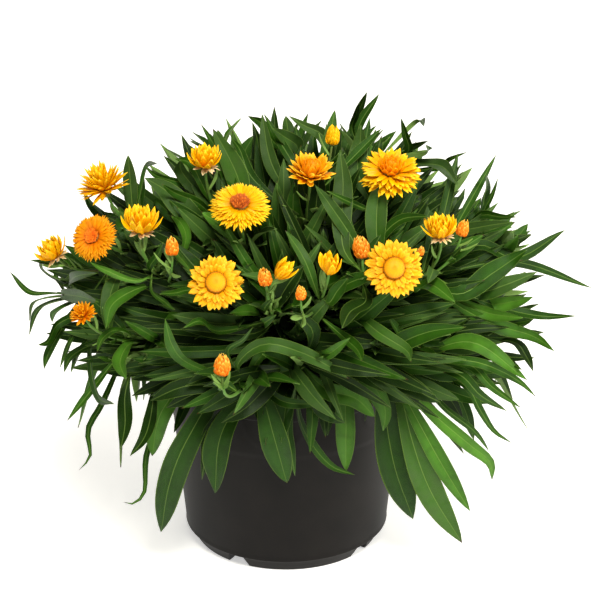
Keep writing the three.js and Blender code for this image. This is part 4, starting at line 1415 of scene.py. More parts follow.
def bract_tree() -> NodeTree:
    """A spiral of thin papery bracts about an upright axis.

    Returns:
        A tree that starts each bract as a flat plate, 4 by 6 points, and bends it into its place.
    """
    ends = [f"{label} {end}" for label in BRACT_PAIRS for end in ("Outer", "Inner")]
    tree, given = new_tree("bract_spiral", ["Count", "Seed"], ["Cup", "Loose", "Blunt", "Thickness", *ends])
    order = Term(tree, add_node(tree, "GeometryNodeInputIndex").outputs[0])
    luck, lean = (
        Term(tree, add_node(tree, "FunctionNodeRandomValue", {8: seed}, data_type="FLOAT").outputs[1])
        for seed in (given["Seed"], given["Seed"] + 77.0)
    )
    rows = {
        "bract_share": order / (given["Count"] - 1.0),
        "bract_luck": luck,
        "bract_lean": lean,
        "bract_turn": order * GOLDEN_TURN + (luck - 0.5) * given["Loose"] * 0.3,
    }
    points = add_node(tree, "GeometryNodePoints", {"Count": given["Count"]}).outputs[0]
    for label, value in rows.items():
        inputs = {"Geometry": points, "Name": label, "Value": value}
        points = add_node(tree, "GeometryNodeStoreNamedAttribute", inputs, **ON_POINTS).outputs[0]
    plate = add_node(tree, "GeometryNodeMeshCube", {"Vertices X": 4, "Vertices Y": 6, "Vertices Z": 2})
    copies = add_node(tree, "GeometryNodeInstanceOnPoints", {"Points": points, "Instance": plate.outputs[0]})
    plates = add_node(tree, "GeometryNodeRealizeInstances", {"Geometry": copies.outputs[0]}).outputs[0]

    kind = "GeometryNodeInputNamedAttribute"
    held = (add_node(tree, kind, {"Name": label}, data_type="FLOAT") for label in rows)
    share, luck, lean, turn = (Term(tree, node.outputs[0]) for node in held)
    place = add_node(tree, "GeometryNodeInputPosition").outputs[0]
    flat = add_node(tree, "ShaderNodeSeparateXYZ", {0: place})
    x, y, z = (Term(tree, part) for part in flat.outputs)
    along, across = y + 0.5, x * 2.0
    for label, value in {"bract_along": along, "bract_across": across, "bract_back": z * -1.0 + 0.5}.items():
        inputs = {"Geometry": plates, "Name": label, "Value": value}
        plates = add_node(tree, "GeometryNodeStoreNamedAttribute", inputs, **ON_POINTS).outputs[0]

    tilt, bend, length, breadth, ring, height = (
        given[f"{label} Outer"].to(given[f"{label} Inner"], share) for label in BRACT_PAIRS
    )
    loose = given["Loose"]
    tilt = tilt + (lean - 0.5) * loose * 0.34
    bend = bend + (luck - 0.5) * loose * 0.5 + 0.0007
    length = length * ((lean * 1.7 + luck).apply("FRACT") * loose * 0.2 + 0.9)
    taper = (along ** given["Blunt"] * math.pi).apply("SINE").apply("MAXIMUM", 0.0) ** 0.8
    half = breadth * 0.5 * (taper * 0.85 + (along * -1.0 + 1.0) * 0.4 + 0.035)
    angle = tilt + bend * along
    ahead = length / bend
    proud = half * across * across * given["Cup"] + half * across * (lean - 0.5) * loose * 0.7
    proud = proud + z * given["Thickness"]
    radial = ring + ahead * (tilt.apply("COSINE") - angle.apply("COSINE")) - angle.apply("COSINE") * proud
    lifted = height + ahead * (angle.apply("SINE") - tilt.apply("SINE")) + angle.apply("SINE") * proud
    lateral = half * across * -1.0
    cosine, sine = turn.apply("COSINE"), turn.apply("SINE")
    place = {"X": radial * cosine - lateral * sine, "Y": radial * sine + lateral * cosine, "Z": lifted}
    moved = {"Geometry": plates, "Position": add_node(tree, "ShaderNodeCombineXYZ", place).outputs[0]}
    return finished(add_node(tree, "GeometryNodeSetPosition", moved).outputs[0], given)


def floret_tree() -> NodeTree:
    """The small tube florets that pack an open head's disc, leaning outwards from its middle."""
    tree, given = new_tree("floret_disc", ["Count", "Seed"], DISC)
    order = Term(tree, add_node(tree, "GeometryNodeInputIndex").outputs[0])
    luck = add_node(tree, "FunctionNodeRandomValue", {8: given["Seed"]}, data_type="FLOAT").outputs[1]
    luck, turn = Term(tree, luck), order * GOLDEN_TURN
    share = ((order + 0.5) / given["Count"]) ** 0.5
    x, y = (share * given["Radius"] * turn.apply(way) for way in ("COSINE", "SINE"))
    z = given["Base"] + given["Dome"] * (share * share * -1.0 + 1.0)
    place, lean = (
        add_node(tree, "ShaderNodeCombineXYZ", {"X": x, "Y": y, "Z": up}).outputs[0]
        for up in (z, given["Radius"] * 1.4)
    )
    points = add_node(tree, "GeometryNodePoints", {"Count": given["Count"], "Position": place}).outputs[0]
    for label, value in {"floret_share": share, "floret_luck": luck}.items():
        inputs = {"Geometry": points, "Name": label, "Value": value}
        points = add_node(tree, "GeometryNodeStoreNamedAttribute", inputs, **ON_POINTS).outputs[0]
    turned = add_node(tree, "FunctionNodeAlignRotationToVector", {"Vector": lean}, axis="Z").outputs[0]
    sizes = {"Radius Top": given["Floret Radius"] * 0.55, "Radius Bottom": given["Floret Radius"]}
    sizes.update({"Vertices": 5, "Depth": given["Floret Length"]})
    inputs = {"Points": points, "Instance": add_node(tree, "GeometryNodeMeshCone", sizes).outputs[0]}
    inputs.update({"Rotation": turned, "Scale": luck * 0.5 + 0.75})
    return finished(add_node(tree, "GeometryNodeInstanceOnPoints", inputs).outputs[0], given)


def lathed(outline: Sequence[tuple[float, float]], sides: int) -> tuple[Points, list[Points]]:
    """A closed shape turned about the upright axis.

    Args:
        outline: Radius and height, from the lower end on the axis round the outside to the upper end on it.
        sides: How many steps there are in a turn.

    Returns:
        Its points, and tables of its four-cornered and three-cornered faces.
    """
    rings = np.array(outline[1:-1], float)
    turn = np.arange(sides) * 2 * math.pi / sides
    points = np.stack(
        [
            rings[:, 0, None] * np.sin(turn),
            -rings[:, 0, None] * np.cos(turn),
            np.broadcast_to(rings[:, 1, None], (len(rings), sides)),
        ],
        axis=-1,
    ).reshape(-1, 3)
    poles = np.array([[0, 0, outline[0][1]], [0, 0, outline[-1][1]]])
    grid = np.arange(len(rings) * sides).reshape(len(rings), sides)
    nexts = np.roll(grid, -1, axis=1)
    quads = np.stack([grid[:-1], nexts[:-1], nexts[1:], grid[1:]], axis=-1).reshape(-1, 4)
    low, high = np.full(sides, len(points)), np.full(sides, len(points) + 1)
    threes = np.vstack([
        np.stack([low, nexts[0], grid[0]], axis=-1),
        np.stack([high, grid[-1], nexts[-1]], axis=-1),
    ])
    return np.vstack([points, poles]), [quads, threes]


@dataclass
class Flowers:
    """Every flower head, from closed buds to open heads.

    The bracts' thickness is in millimetres; the button's ridges and the band of its painted rim shadow are
    in shares of a head's width.
    """

    heads: list[Head]
    thickness: float = 0.3
    floret_count: int = 190
    cup_sides: int = 14
    ridges: int = 26
    ridge_depth: float = 0.022
    ridge_start: float = 0.125
    button_radius: float = 0.18
    # The band of heights, in widths, where the button's groove gets its painted shadow.
    painted_rim_shadow: tuple[float, float] = (0.095, 0.125)
    streaks: float = 5.0

    def centred(self, name: str, shape: tuple, numbers: dict, material: Material) -> Object:
        """A closed shape about the origin.

        Args:
            name: Its name.
            shape: Its points in millimetres, and its tables of faces.
            numbers: A number for each point, by attribute name.
            material: Its finish.

        Returns:
            The new object.
        """
        sheaf = Sheaf()
        sheaf.add(*shape, numbers)
        piece = sheaf.piece(name, material)
        piece.data.transform(Matrix.Translation(-POT_AXIS))
        return piece

    def button(self, name: str, width: float, material: Material) -> Object:
        """The button of shut bracts, ridged where they lie edge to edge.

        Args:
            name: The new object's name.
            width: The head's width in millimetres.
            material: Its finish.

        Returns:
            The button, about the origin.
        """
        points, faces = lathed([(r * width, z * width) for r, z in BUTTON], 4 * self.ridges)
        turn = np.arctan2(points[:, 0], -points[:, 1])
        radius = np.hypot(points[:, 0], points[:, 1])
        depth = self.ridge_depth * np.minimum(radius / (self.ridge_start * width), 1)
        points[:, :2] *= (1 + depth * np.cos(turn * self.ridges))[:, None]
        low, high = self.painted_rim_shadow
        numbers = {
            "bract_along": 1 - radius / (self.button_radius * width),
            "bract_across": turn * self.ridges / (self.streaks * math.pi),
            # Share of painted shadow in the groove under the button's overhang.
            "bract_painted_rim_shadow": np.clip((high - points[:, 2] / width) / (high - low), 0, 1),
        }
        return self.centred(name, (points, faces), numbers, material)

    def head(self, head: Head, trees: dict[str, NodeTree], finishes: dict) -> None:
        """Makes one head.

        Args:
            head: The head.
            trees: The bract tree and the floret tree.
            finishes: The heads' finishes, as build takes them.
        """
        name, width = f"flower_{head.number:02d}", head.width * MM
        pieces = []
        for k, row in enumerate(SPIRALS[head.form]):
            inputs = row.inputs(width)
            inputs["Material"] = finishes[head.tint if row.coat == "bract" else row.coat]
            inputs["Seed"], inputs["Thickness"] = head.number * 7 + k, self.thickness * MM
            pieces.append(grown(f"{name}_bracts_{k}", trees["bracts"], inputs))
        if head.form is Form.DAISY:
            inputs = {label: share * width for label, share in DISC.items()}
            inputs.update(Material=finishes["florets"][head.tint], Count=self.floret_count, Seed=head.number)
            pieces.append(grown(f"{name}_disc", trees["florets"], inputs))
        if head.form is Form.BUTTON:
            pieces.append(self.button(f"{name}_button", head.width, finishes["heart"]))
        cup = lathed([(r * head.width, z * head.width) for r, z in CUPS[head.form.kind]], self.cup_sides)
        pieces.append(self.centred(f"{name}_cup", cup, {}, finishes["cup"]))
        whole = joined(name, pieces)
        turn = Vector((0, 0, 1)).rotation_difference(Vector(head.facing)).to_matrix().to_4x4()
        whole.data.transform(Matrix.Translation(Vector(to_row(head.middle))) @ turn)
        kept(whole, head.tint.value, f"head_{head.number:02d}")

    def build(self, finishes: dict) -> None:
        """Makes one piece for each head.

        Args:
            finishes: The bracts' by tint or by another coat's name, the cup's, and the florets' by tint.
        """
        trees = {"bracts": bract_tree(), "florets": floret_tree()}
        for head in self.heads:
            self.head(head, trees, finishes)


def rounded(outline: Sequence[tuple[float, float]], radius: float, step: float) -> list[tuple[float, float]]:
    """Rounds an outline's corners and divides its long stretches.

    Args:
        outline: Radius and height of each corner.
        radius: How much of each side a corner's curve takes.
        step: The longest stretch that is left.

    Returns:
        The finer outline, with the same ends.
    """
    corners = [np.array(p, float) for p in outline]
    line = [corners[0]]
    for before, corner, after in zip(corners, corners[1:], corners[2:]):
        reach = min(radius, np.linalg.norm(before - corner) / 2.2, np.linalg.norm(after - corner) / 2.2)
        start, end = corner + unit(before - corner) * reach, corner + unit(after - corner) * reach
        for t in (0.0, 0.33, 0.67, 1.0):
            line.append((1 - t) ** 2 * start + 2 * (1 - t) * t * corner + t * t * end)
    line.append(corners[-1])
    fine = [line[0]]
    for before, after in zip(line, line[1:]):
        parts = max(1, math.ceil(float(np.linalg.norm(after - before)) / step))
        fine += [before + (after - before) * k / parts for k in range(1, parts + 1)]
    return [(float(p[0]), float(p[1])) for p in fine]


@dataclass
class Pot:
    """The nursery pot: a thin tapered wall, a rim band, and a foot ring with gaps. Millimetres.

    Gap flare is how much each half of a gap gains at its foot and at its top. Skin is how far inside the
    wall's outer face a point still belongs to it, and margins are how near the ledge and band it may come.
    """

    height: float = 163.0
    rim_radius: float = 101.0
    rim_band: float = 18.0
    top_radius: float = 97.0
    foot_radius: float = 84.5
    wall: float = 2.0
    foot_height: float = 11.3
    ring_radius: float = 76.5
    ring_width: float = 8.0
    floor_top: float = 13.3
    gap: float = 16.0
    gap_angles: tuple[float, ...] = (-30, 51, 150, 231)
    drains: int = 5
    drain_radius: float = 6.0
    drain_circle: float = 48.0
    step_height: float = 111.0
    arch_radius: float = 25.0
    arch_height: float = 143.0
    arch_first: float = -5.0
    arches: int = 6
    arch_half: float = 1.6
    relief: float = 0.45
    ledge: float = 1.2
    gap_flare: tuple[float, float] = (2.0, -1.5)
    skin: float = 0.6
    margins: tuple[float, float] = (2.0, 0.5)
    rounding: float = 0.9
    longest: float = 2.2
    sides: int = 256
    drain_sides: int = 32
    sharp: float = math.radians(40)

    def wall_radius(self, z: float | Points) -> float | Points:
        """Where the wall's outside is at a height."""
        share = (z - self.foot_height) / (self.height - self.rim_band - self.foot_height)
        return self.foot_radius + (self.top_radius - self.foot_radius) * share

    def outline(self) -> list[tuple[float, float]]:
        """The half outline, from the floor's underside round the outside to the floor's top."""
        band = self.height - self.rim_band
        low = self.floor_top - self.wall
        return [
            (0, low),
            (self.ring_radius - self.ring_width, low),
            (self.ring_radius - self.ring_width, 0),
            (self.ring_radius, 0),
            (self.foot_radius - 2, self.foot_height),
            (self.foot_radius, self.foot_height),
            (self.wall_radius(band), band),
            (self.rim_radius - 1, band),
            (self.rim_radius, self.height),
            (self.rim_radius - self.wall, self.height),
            (self.rim_radius - self.wall - 1, band + self.wall),
            (self.wall_radius(band) - self.wall, band),
            (self.wall_radius(self.floor_top) - self.wall, self.floor_top),
            (0, self.floor_top),
        ]

    def raised(self, points: Points) -> Points:
        """Presses the moulded step and arches into the outer wall.

        Args:
            points: The pot's points.

        Returns:
            The points, those of the outer wall moved.
        """
        radius, height = np.hypot(points[:, 0], points[:, 1]), points[:, 2]
        low, high = self.foot_height + self.margins[0], self.height - self.rim_band - self.margins[1]
        outer = (height > low) & (height < high) & (radius > self.wall_radius(height) - self.skin)
        angle = np.degrees(np.arctan2(points[:, 0], -points[:, 1])) - self.arch_first
        spacing = 360 / self.arches
        angle = (angle + spacing / 2) % spacing - spacing / 2
        across = np.radians(angle) * self.top_radius
        away = np.abs(np.hypot(across, height - self.arch_height) - self.arch_radius)
        arch = np.clip(self.arch_half - away, 0, 1) * self.relief
        ledge = np.clip((self.step_height - height) / self.ledge, 0, 1) * self.relief
        change = np.where(outer, arch - ledge, 0)
        scale = (radius + change) / np.maximum(radius, 1e-6)
        return points * np.stack([scale, scale, np.ones_like(scale)], axis=-1)

    def cutters(self) -> Object:
        """The gaps in the foot ring, wider towards the floor, and the drain holes, as closed shapes."""
        sheaf = Sheaf()
        corner = np.array([(x, y, z) for z in (-1, 1) for y in (-1, 1) for x in (-1, 1)], float)
        sides = [(0, 2, 3, 1), (4, 5, 7, 6), (0, 1, 5, 4), (2, 6, 7, 3), (0, 4, 6, 2), (1, 3, 7, 5)]
        for angle in self.gap_angles:
            turn = math.radians(angle)
            low, high = self.gap_flare
            x = corner[:, 0] * (self.gap / 2 + np.where(corner[:, 2] > 0, high, low))
            y = -self.ring_radius + corner[:, 1] * 2 * self.ring_width
            z = np.where(corner[:, 2] > 0, self.foot_height - 0.4, -1.0)
            across = x * math.cos(turn) - y * math.sin(turn)
            inwards = x * math.sin(turn) + y * math.cos(turn)
            sheaf.add(np.stack([across, inwards, z], axis=-1), [np.array(sides)], {})
        low, high = self.floor_top - 2 * self.wall, self.floor_top + self.wall
        drain = [(0, low), (self.drain_radius, low), (self.drain_radius, high), (0, high)]
        points, faces = lathed(drain, self.drain_sides)
        for i in range(self.drains):
            sheaf.add(points + about_axis(self.drain_circle, 360 * i / self.drains, 0), faces, {})
        return sheaf.piece("cutters", bpy.data.materials.new("cutters"))

    def build(self, plastic: Material) -> None:
        """Makes the pot.

        Args:
            plastic: Its finish.
        """
        sheaf = Sheaf()
        points, faces = lathed(rounded(self.outline(), self.rounding, self.longest), self.sides)
        sheaf.add(self.raised(points), faces, {})
        pot, cutters = sheaf.piece("nursery_pot", plastic), self.cutters()
        cut = pot.modifiers.new("gaps", "BOOLEAN")
        cut.operation, cut.solver, cut.object = "DIFFERENCE", "EXACT", cutters
        pot = settled("nursery_pot", pot)
        bpy.data.objects.remove(cutters)
        whole = pot.data
        whole.materials.clear()
        whole.materials.append(plastic)
        whole.polygons.foreach_set("material_index", np.zeros(len(whole.polygons), np.int32))
        whole.set_sharp_from_angle(angle=self.sharp)
        kept(pot, "pot_plastic", "pot")


@dataclass
class Soil:
    """Potting mix: an uneven bed with loose grains on it. Millimetres.

    Grain sizes are the least and the greatest, in shares of a grain, and sunk is how far the bed's waves
    lie under its top, in shares of its unevenness.
    """

    top: float = 148.0
    radius: float = 94.0
    foot: float = 13.6
    foot_radius: float = 82.0
    shoulder: float = 3.0
    rings: int = 12
    sides: int = 72
    unevenness: float = 0.64
    sunk: float = 1.6
    grain: float = 2.4
    grain_sizes: tuple[tuple[float, ...], tuple[float, ...]] = ((0.4, 0.4, 0.3), (1.5, 1.2, 0.9))
    grain_turns: tuple[tuple[float, ...], tuple[float, ...]] = ((0, 0, 0), (6.28, 6.28, 6.28))
    grains_per_square_metre: float = 42000.0
    seed: int = 11

    def bed(self, material: Material) -> Object:
        """The bed that the grains lie on."""
        outline = [(0, self.foot), (self.foot_radius, self.foot), (self.radius, self.top - self.shoulder)]
        outline += [(self.radius * k / self.rings, self.top) for k in range(self.rings - 1, 0, -1)]
        points, faces = lathed([*outline, (0, self.top)], self.sides)
        x, y = points[:, 0], points[:, 1]
        wave = np.sin(x * 0.31) * np.cos(y * 0.27 + 1) + np.sin(x * 0.9 + y)
        points[:, 2] += np.where(points[:, 2] > self.top - 1, (wave - self.sunk) * self.unevenness, 0)
        sheaf = Sheaf()
        sheaf.add(points, faces, {})
        return sheaf.piece("potting_mix_bed", material)

    def build(self, material: Material) -> None:
        """Makes the potting mix.

        Args:
            material: Its finish.
        """
        tree, given = new_tree("scattered_grains", ["Seed"], ["Density", "Size", "Above"])
        place = add_node(tree, "GeometryNodeInputPosition").outputs[0]
        height = add_node(tree, "ShaderNodeSeparateXYZ", {0: place}).outputs[2]
        inputs = {0: height, 1: given["Above"]}
        above = add_node(tree, "FunctionNodeCompare", inputs, operation="GREATER_THAN").outputs[0]
        inputs = {label: given[label] for label in ("Density", "Seed")}
        inputs.update(Mesh=given["Geometry"], Selection=above)
        spots = add_node(tree, "GeometryNodeDistributePointsOnFaces", inputs).outputs[0]
        inputs = {"Radius": given["Size"] * 0.5, "Subdivisions": 1}
        stone = add_node(tree, "GeometryNodeMeshIcoSphere", inputs).outputs[0]
        inputs = {"Points": spots, "Instance": stone}
        for label, (low, high), seed in (("Scale", self.grain_sizes, 3), ("Rotation", self.grain_turns, 5)):
            luck = {0: low, 1: high, 8: seed}
            luck = add_node(tree, "FunctionNodeRandomValue", luck, data_type="FLOAT_VECTOR")
            inputs[label] = luck.outputs[0]
        copies = add_node(tree, "GeometryNodeInstanceOnPoints", inputs)
        whole = add_node(tree, "GeometryNodeJoinGeometry", {0: given["Geometry"]})
        tree.links.new(copies.outputs[0], whole.inputs[0])
        finished(whole.outputs[0], given)
        bed = self.bed(material)
        inputs = {"Material": material, "Density": self.grains_per_square_metre, "Size": self.grain * MM}
        inputs.update(Seed=self.seed, Above=(self.top - 4) * MM + POT_AXIS.z)
        mix = grown("loose_potting_mix", tree, inputs, bed.data)
        bpy.data.objects.remove(bed)
        kept(mix, "potting_mix", "soil")


class Paint:
    """A colour that is built up in coats on a material."""

    def __init__(self, name: str, colour: str, roughness: float, specular: float = 0.5) -> None:
        """Starts a material with one even coat.

        Args:
            name: The material's name.
            colour: The first coat, as sRGB hex.
            roughness: How rough its surface is.
            specular: How strongly it mirrors, where 0.5 is the usual for its IOR.
        """
        self.material = bpy.data.materials.new(name)
        self.material.use_nodes = True
        self.tree = self.material.node_tree
        self.shader = self.tree.nodes["Principled BSDF"]
        self.shader.inputs["Roughness"].default_value = roughness
        self.shader.inputs["Specular IOR Level"].default_value = specular
        self.colour: NodeSocket | tuple = linear(colour)
        self.place = add_node(self.tree, "ShaderNodeTexCoord").outputs["Object"]

    def read(self, name: str) -> Term:
        """A number that the mesh's points hold."""
        held = add_node(self.tree, "ShaderNodeAttribute", attribute_name=name)
        return Term(self.tree, held.outputs["Fac"])

    def patches(self, size_mm: float, detail: float = 2.0) -> Term:
        """Soft random patches of about a size in millimetres."""
        inputs = {"Vector": self.place, "Scale": 1 / (size_mm * MM), "Detail": detail}
        return Term(self.tree, add_node(self.tree, "ShaderNodeTexNoise", inputs).outputs[0])

    def depth(self) -> Term:
        """How far out a point is from the middle of the foliage: 1 where the foliage ends."""
        steps = {"SUBTRACT": Vector(to_row(DOME.centre)), "MULTIPLY": [1 / (r * MM) for r in DOME.radii]}
        away = self.place
        for operation, value in steps.items():
            inputs = {0: away, 1: value}
            away = add_node(self.tree, "ShaderNodeVectorMath", inputs, operation=operation).outputs[0]
        length = add_node(self.tree, "ShaderNodeVectorMath", {0: away}, operation="LENGTH")
        return Term(self.tree, length.outputs["Value"])

    def ramp(self, value: Term, low: float, high: float) -> Term:
        """A value's smooth rise from 0 at low to 1 at high."""
        inputs = {0: value, 1: low, 2: high}
        node = add_node(self.tree, "ShaderNodeMapRange", inputs, interpolation_type="SMOOTHSTEP")
        return Term(self.tree, node.outputs[0])

    def coat(self, colour: str, share: Term) -> None:
        """Lays a colour over the coats below, as thickly as the share says."""
        inputs = {0: share, 6: self.colour, 7: linear(colour)}
        self.colour = add_node(self.tree, "ShaderNodeMix", inputs, data_type="RGBA").outputs[2]

    def done(self, height: Term | None = None, depth_mm: float = 0.0) -> Material:
        """Joins the coats to the shader, with a bump where there is one.

        Args:
            height: The bump's height, from 0 to 1.
            depth_mm: How deep it is, in millimetres.

        Returns:
            The finished material.
        """
        self.tree.links.new(self.colour, self.shader.inputs["Base Color"])
        if height is not None:
            bump = add_node(self.tree, "ShaderNodeBump", {"Height": height, "Distance": depth_mm * MM})
            self.tree.links.new(bump.outputs[0], self.shader.inputs["Normal"])
        return self.material


@dataclass(frozen=True)
class LeafFinish:
    """Living leaf, a waxy skin over green flesh: a soft gloss, a pale midrib, edges lighter partly by their
    own colour and partly as a painted highlight, a painted grey sheen, and painted shade deep inside the
    foliage.
    """

    deep: str = "#102806"
    middle: str = "#224A08"
    bright: str = "#487A20"
    patch: str = "#061503"
    # Painted sheen: a grey-green that stands for the leaves' gloss.
    painted_sheen: str = "#4A6434"
    midrib: str = "#86A64C"
    # Pale vein lines, and the lighter rim, which is partly the margin's own colour and partly a painted
    # highlight.
    edge: str = "#769838"
    foot: str = "#5E8A2A"
    under: str = "#7A9C50"
    dry: str = "#3A2414"
    # Painted shade: the colour of leaves deep inside the foliage.
    painted_inner_shade: str = "#050F03"
    vein_mm: float = 2.2
    roughness: float = 0.38

    def make(self) -> Material:
        """The material."""
        paint = Paint("living_leaf", self.deep, self.roughness, specular=0.1)
        light, grey, luck = paint.read("leaf_light"), paint.read("leaf_painted_sheen"), paint.read("leaf_luck")
        along, across = paint.read("leaf_along"), paint.read("leaf_across").apply("ABSOLUTE")
        reach, side = paint.read("leaf_mm_along"), paint.read("leaf_mm_across").apply("ABSOLUTE")
        patches = paint.patches(9.0)
        # The leaf's tone, deep to bright, is partly its own colour and partly painted light and shade.
        paint.coat(self.middle, paint.ramp(light + (luck - 0.5) * 0.4, -0.1, 0.6))
        paint.coat(self.bright, paint.ramp(light + (luck - 0.5) * 0.5, 0.45, 1.1))
        paint.coat(self.patch, paint.ramp(patches, 0.42, 0.75) * 0.28)
        paint.coat(self.patch, paint.ramp(across, 0.35, 0.95) * 0.3)
        paint.coat(self.under, paint.read("leaf_under") * 0.75)
        # Painted sheen: grey-green patches on leaves of the grey tone, standing for their gloss.
        paint.coat(self.painted_sheen, grey * paint.ramp(patches + along * 0.3, 0.2, 0.9) * 0.42)
        paint.coat(self.foot, paint.ramp(along * -1.0, -0.3, 0.0) * 0.45)
        vein = ((reach - side * 2.6) * (2 * math.pi / self.vein_mm)).apply("SINE")
        paint.coat(self.edge, paint.ramp(vein, 0.75, 1.0) * 0.16)
        # The lighter rim: partly the margin's own colour, partly a painted highlight.
        paint.coat(self.edge, paint.ramp(across, 0.9, 1.0) * 0.5)
        rib = paint.ramp(side * -1.0, -0.5, -0.1)
        paint.coat(self.midrib, rib * (along * -0.6 + 0.9) * 0.62)
        paint.coat(self.dry, paint.ramp(along, 0.97, 0.995) * paint.ramp(luck, 0.55, 0.85))
        # Painted shade: leaves darken towards the middle of the foliage, where it shades them.
        paint.coat(self.painted_inner_shade, paint.ramp(paint.depth() * -1.0, -0.9, -0.45) * 0.92)
        height = vein * 0.2 + rib * 0.5 + paint.patches(1.6) * 0.5
        return paint.done(height, 0.25)


@dataclass(frozen=True)
class StemFinish:
    """Young stem: green with a brownish side, matt with fine down."""

    green: str = "#4F7A2C"
    brown: str = "#5A4526"

    def make(self) -> Material:
        """The material."""
        paint = Paint("young_stem", self.green, 0.6, specular=0.3)
        paint.coat(self.brown, paint.ramp(paint.patches(14.0), 0.4, 0.75) * 0.6)
        return paint.done(paint.patches(1.2), 0.15)


@dataclass(frozen=True)
class BractFinish:
    """Papery bract, dry and thin: a satin gloss, light that glows through, tips of another shade, streaks
    that are partly painted shade between the bracts, and a painted shadow round a shut button's foot.
    """

    name: str
    heart: str
    blade: str
    light: str
    tip: str
    outer: str
    back: str
    streak_count: float = 5.0
    # How dark the streaks are: partly the bracts' own streaks, partly painted shade between bracts.
    streak_and_painted_shade_depth: float = 0.3
    # Painted shadow in the groove round the foot of a shut button.
    painted_rim_shadow: str = "#6E4306"

    def make(self) -> Material:
        """The material."""
        paint = Paint(self.name, self.blade, 0.45, specular=0.14)
        along, across = paint.read("bract_along"), paint.read("bract_across")
        share, luck = paint.read("bract_share"), paint.read("bract_luck")
        paint.coat(self.light, paint.ramp(along + (luck - 0.5) * 0.5, 0.35, 0.85) * 0.85)
        paint.coat(self.heart, paint.ramp(along * -1.0, -0.5, -0.05) * 0.75)
        streak = (across * (math.pi * self.streak_count) + luck * 6.28).apply("SINE")
        # Streaks in the heart colour, partly the bracts' own streaks and partly painted shade between the
        # bracts.
        paint.coat(self.heart, paint.ramp(streak, 0.1, 1.0) * self.streak_and_painted_shade_depth)
        paint.coat(self.back, paint.read("bract_back") * 0.4)
        paint.coat(self.tip, paint.ramp(along, 0.72, 0.98) * 0.7)
        # Painted shadow in the groove under the overhang of a shut button.
        paint.coat(self.painted_rim_shadow, paint.read("bract_painted_rim_shadow") * 0.85)
        outermost = paint.ramp(share * -1.0, -0.12, 0.0)
        paint.coat(self.outer, outermost * paint.ramp(along + luck * 0.4, 0.45, 1.2) * 0.6)
        shader = paint.shader.inputs
        shader["Subsurface Weight"].default_value = 0.25
        shader["Subsurface Radius"].default_value = (1.0, 0.6, 0.2)
        shader["Subsurface Scale"].default_value = 0.6 * MM
        return paint.done(streak * 0.5 + 0.5, 0.06)


BRACTS = {
    Tint.GOLDEN: BractFinish(
        "golden_papery_bract", "#DE8E00", "#EEAE00", "#F4BC04", "#FCCC24", "#EAAE00", "#E09A00",
    ),
    Tint.PALE: BractFinish(
        "pale_papery_bract", "#DE8800", "#EAA206", "#F4B412", "#FCC436", "#E29412", "#D48404",
    ),
    Tint.ORANGE: BractFinish(
        "orange_papery_bract", "#D66600", "#E68800", "#EE9A00", "#F8AE14", "#E08400", "#D47400",
    ),
    "heart": BractFinish(
        "shut_papery_bract", "#DA8404", "#EAA010", "#EC9A06", "#E28004", "#EAA010", "#DA8404", 5.0, 0.5,
    ),
    "peak": BractFinish(
        "peaked_papery_bract", "#E28400", "#F2A600", "#F49E02", "#EA8002", "#F2A600", "#E28C00",
    ),
    "dry": BractFinish(
        "dry_papery_bract", "#A87A3E", "#D2B07A", "#E2CC9C", "#E8D4AA", "#C08E4C", "#C09A60",
    ),
    "scale": BractFinish(
        "bud_scale", "#BE4C02", "#E6780A", "#F2981C", "#FFD05C", "#E07A16", "#CA5C06", 3.0, 0.2,
    ),
}


@dataclass(frozen=True)
class FloretFinish:
    """Packed tube florets: matt orange mouths over brown throats."""

    name: str
    brown: str
    orange: str
    light: str

    def make(self) -> Material:
        """The material."""
        paint = Paint(self.name, self.brown, 0.65, specular=0.3)
        share, luck = paint.read("floret_share"), paint.read("floret_luck")
        paint.coat(self.orange, paint.ramp(luck, 0.3, 0.95) * 0.7)
        paint.coat(self.light, paint.ramp(share * -1.0, -0.45, 0.0) * 0.6)
        return paint.done(paint.patches(0.5), 0.1)


FLORETS = {
    Tint.GOLDEN: FloretFinish("brown_disc_floret", "#A4470A", "#D87214", "#BE560C"),
    Tint.ORANGE: FloretFinish("orange_disc_floret", "#E8700A", "#FF9A1A", "#F58210"),
}


@dataclass(frozen=True)
class CupFinish:
    """The cup under a head: dry, straw-coloured scales over green."""

    green: str = "#6C7A34"
    straw: str = "#C9A768"

    def make(self) -> Material:
        """The material."""
        paint = Paint("bract_cup", self.green, 0.6, specular=0.3)
        paint.coat(self.straw, paint.ramp(paint.patches(1.5), 0.4, 0.65) * 0.7)
        return paint.done(paint.patches(0.8), 0.1)


@dataclass(frozen=True)
class PotFinish:
    """Moulded polypropylene, carbon black: a satin skin with a fine grain and a trace of dust."""

    black: str = "#0D0B0A"
    dust: str = "#1B1715"
    roughness: float = 0.5

    def make(self) -> Material:
        """The material."""
        paint = Paint("moulded_black_polypropylene", self.black, self.roughness, specular=0.13)
        paint.coat(self.dust, paint.ramp(paint.patches(30.0, 4.0), 0.35, 0.8) * 0.35)
        return paint.done(paint.patches(0.6), 0.03)


@dataclass(frozen=True)
class MixFinish:
    """Peat potting mix: dark, matt, crumbly, with paler fibres."""

    peat: str = "#2A1C12"
    fibre: str = "#6A4C30"

    def make(self) -> Material:
        """The material."""
        paint = Paint("peat_potting_mix", self.peat, 0.95, specular=0.2)
        paint.coat(self.fibre, paint.ramp(paint.patches(2.2, 4.0), 0.52, 0.75) * 0.8)
        return paint.done(paint.patches(1.0, 4.0), 0.6)


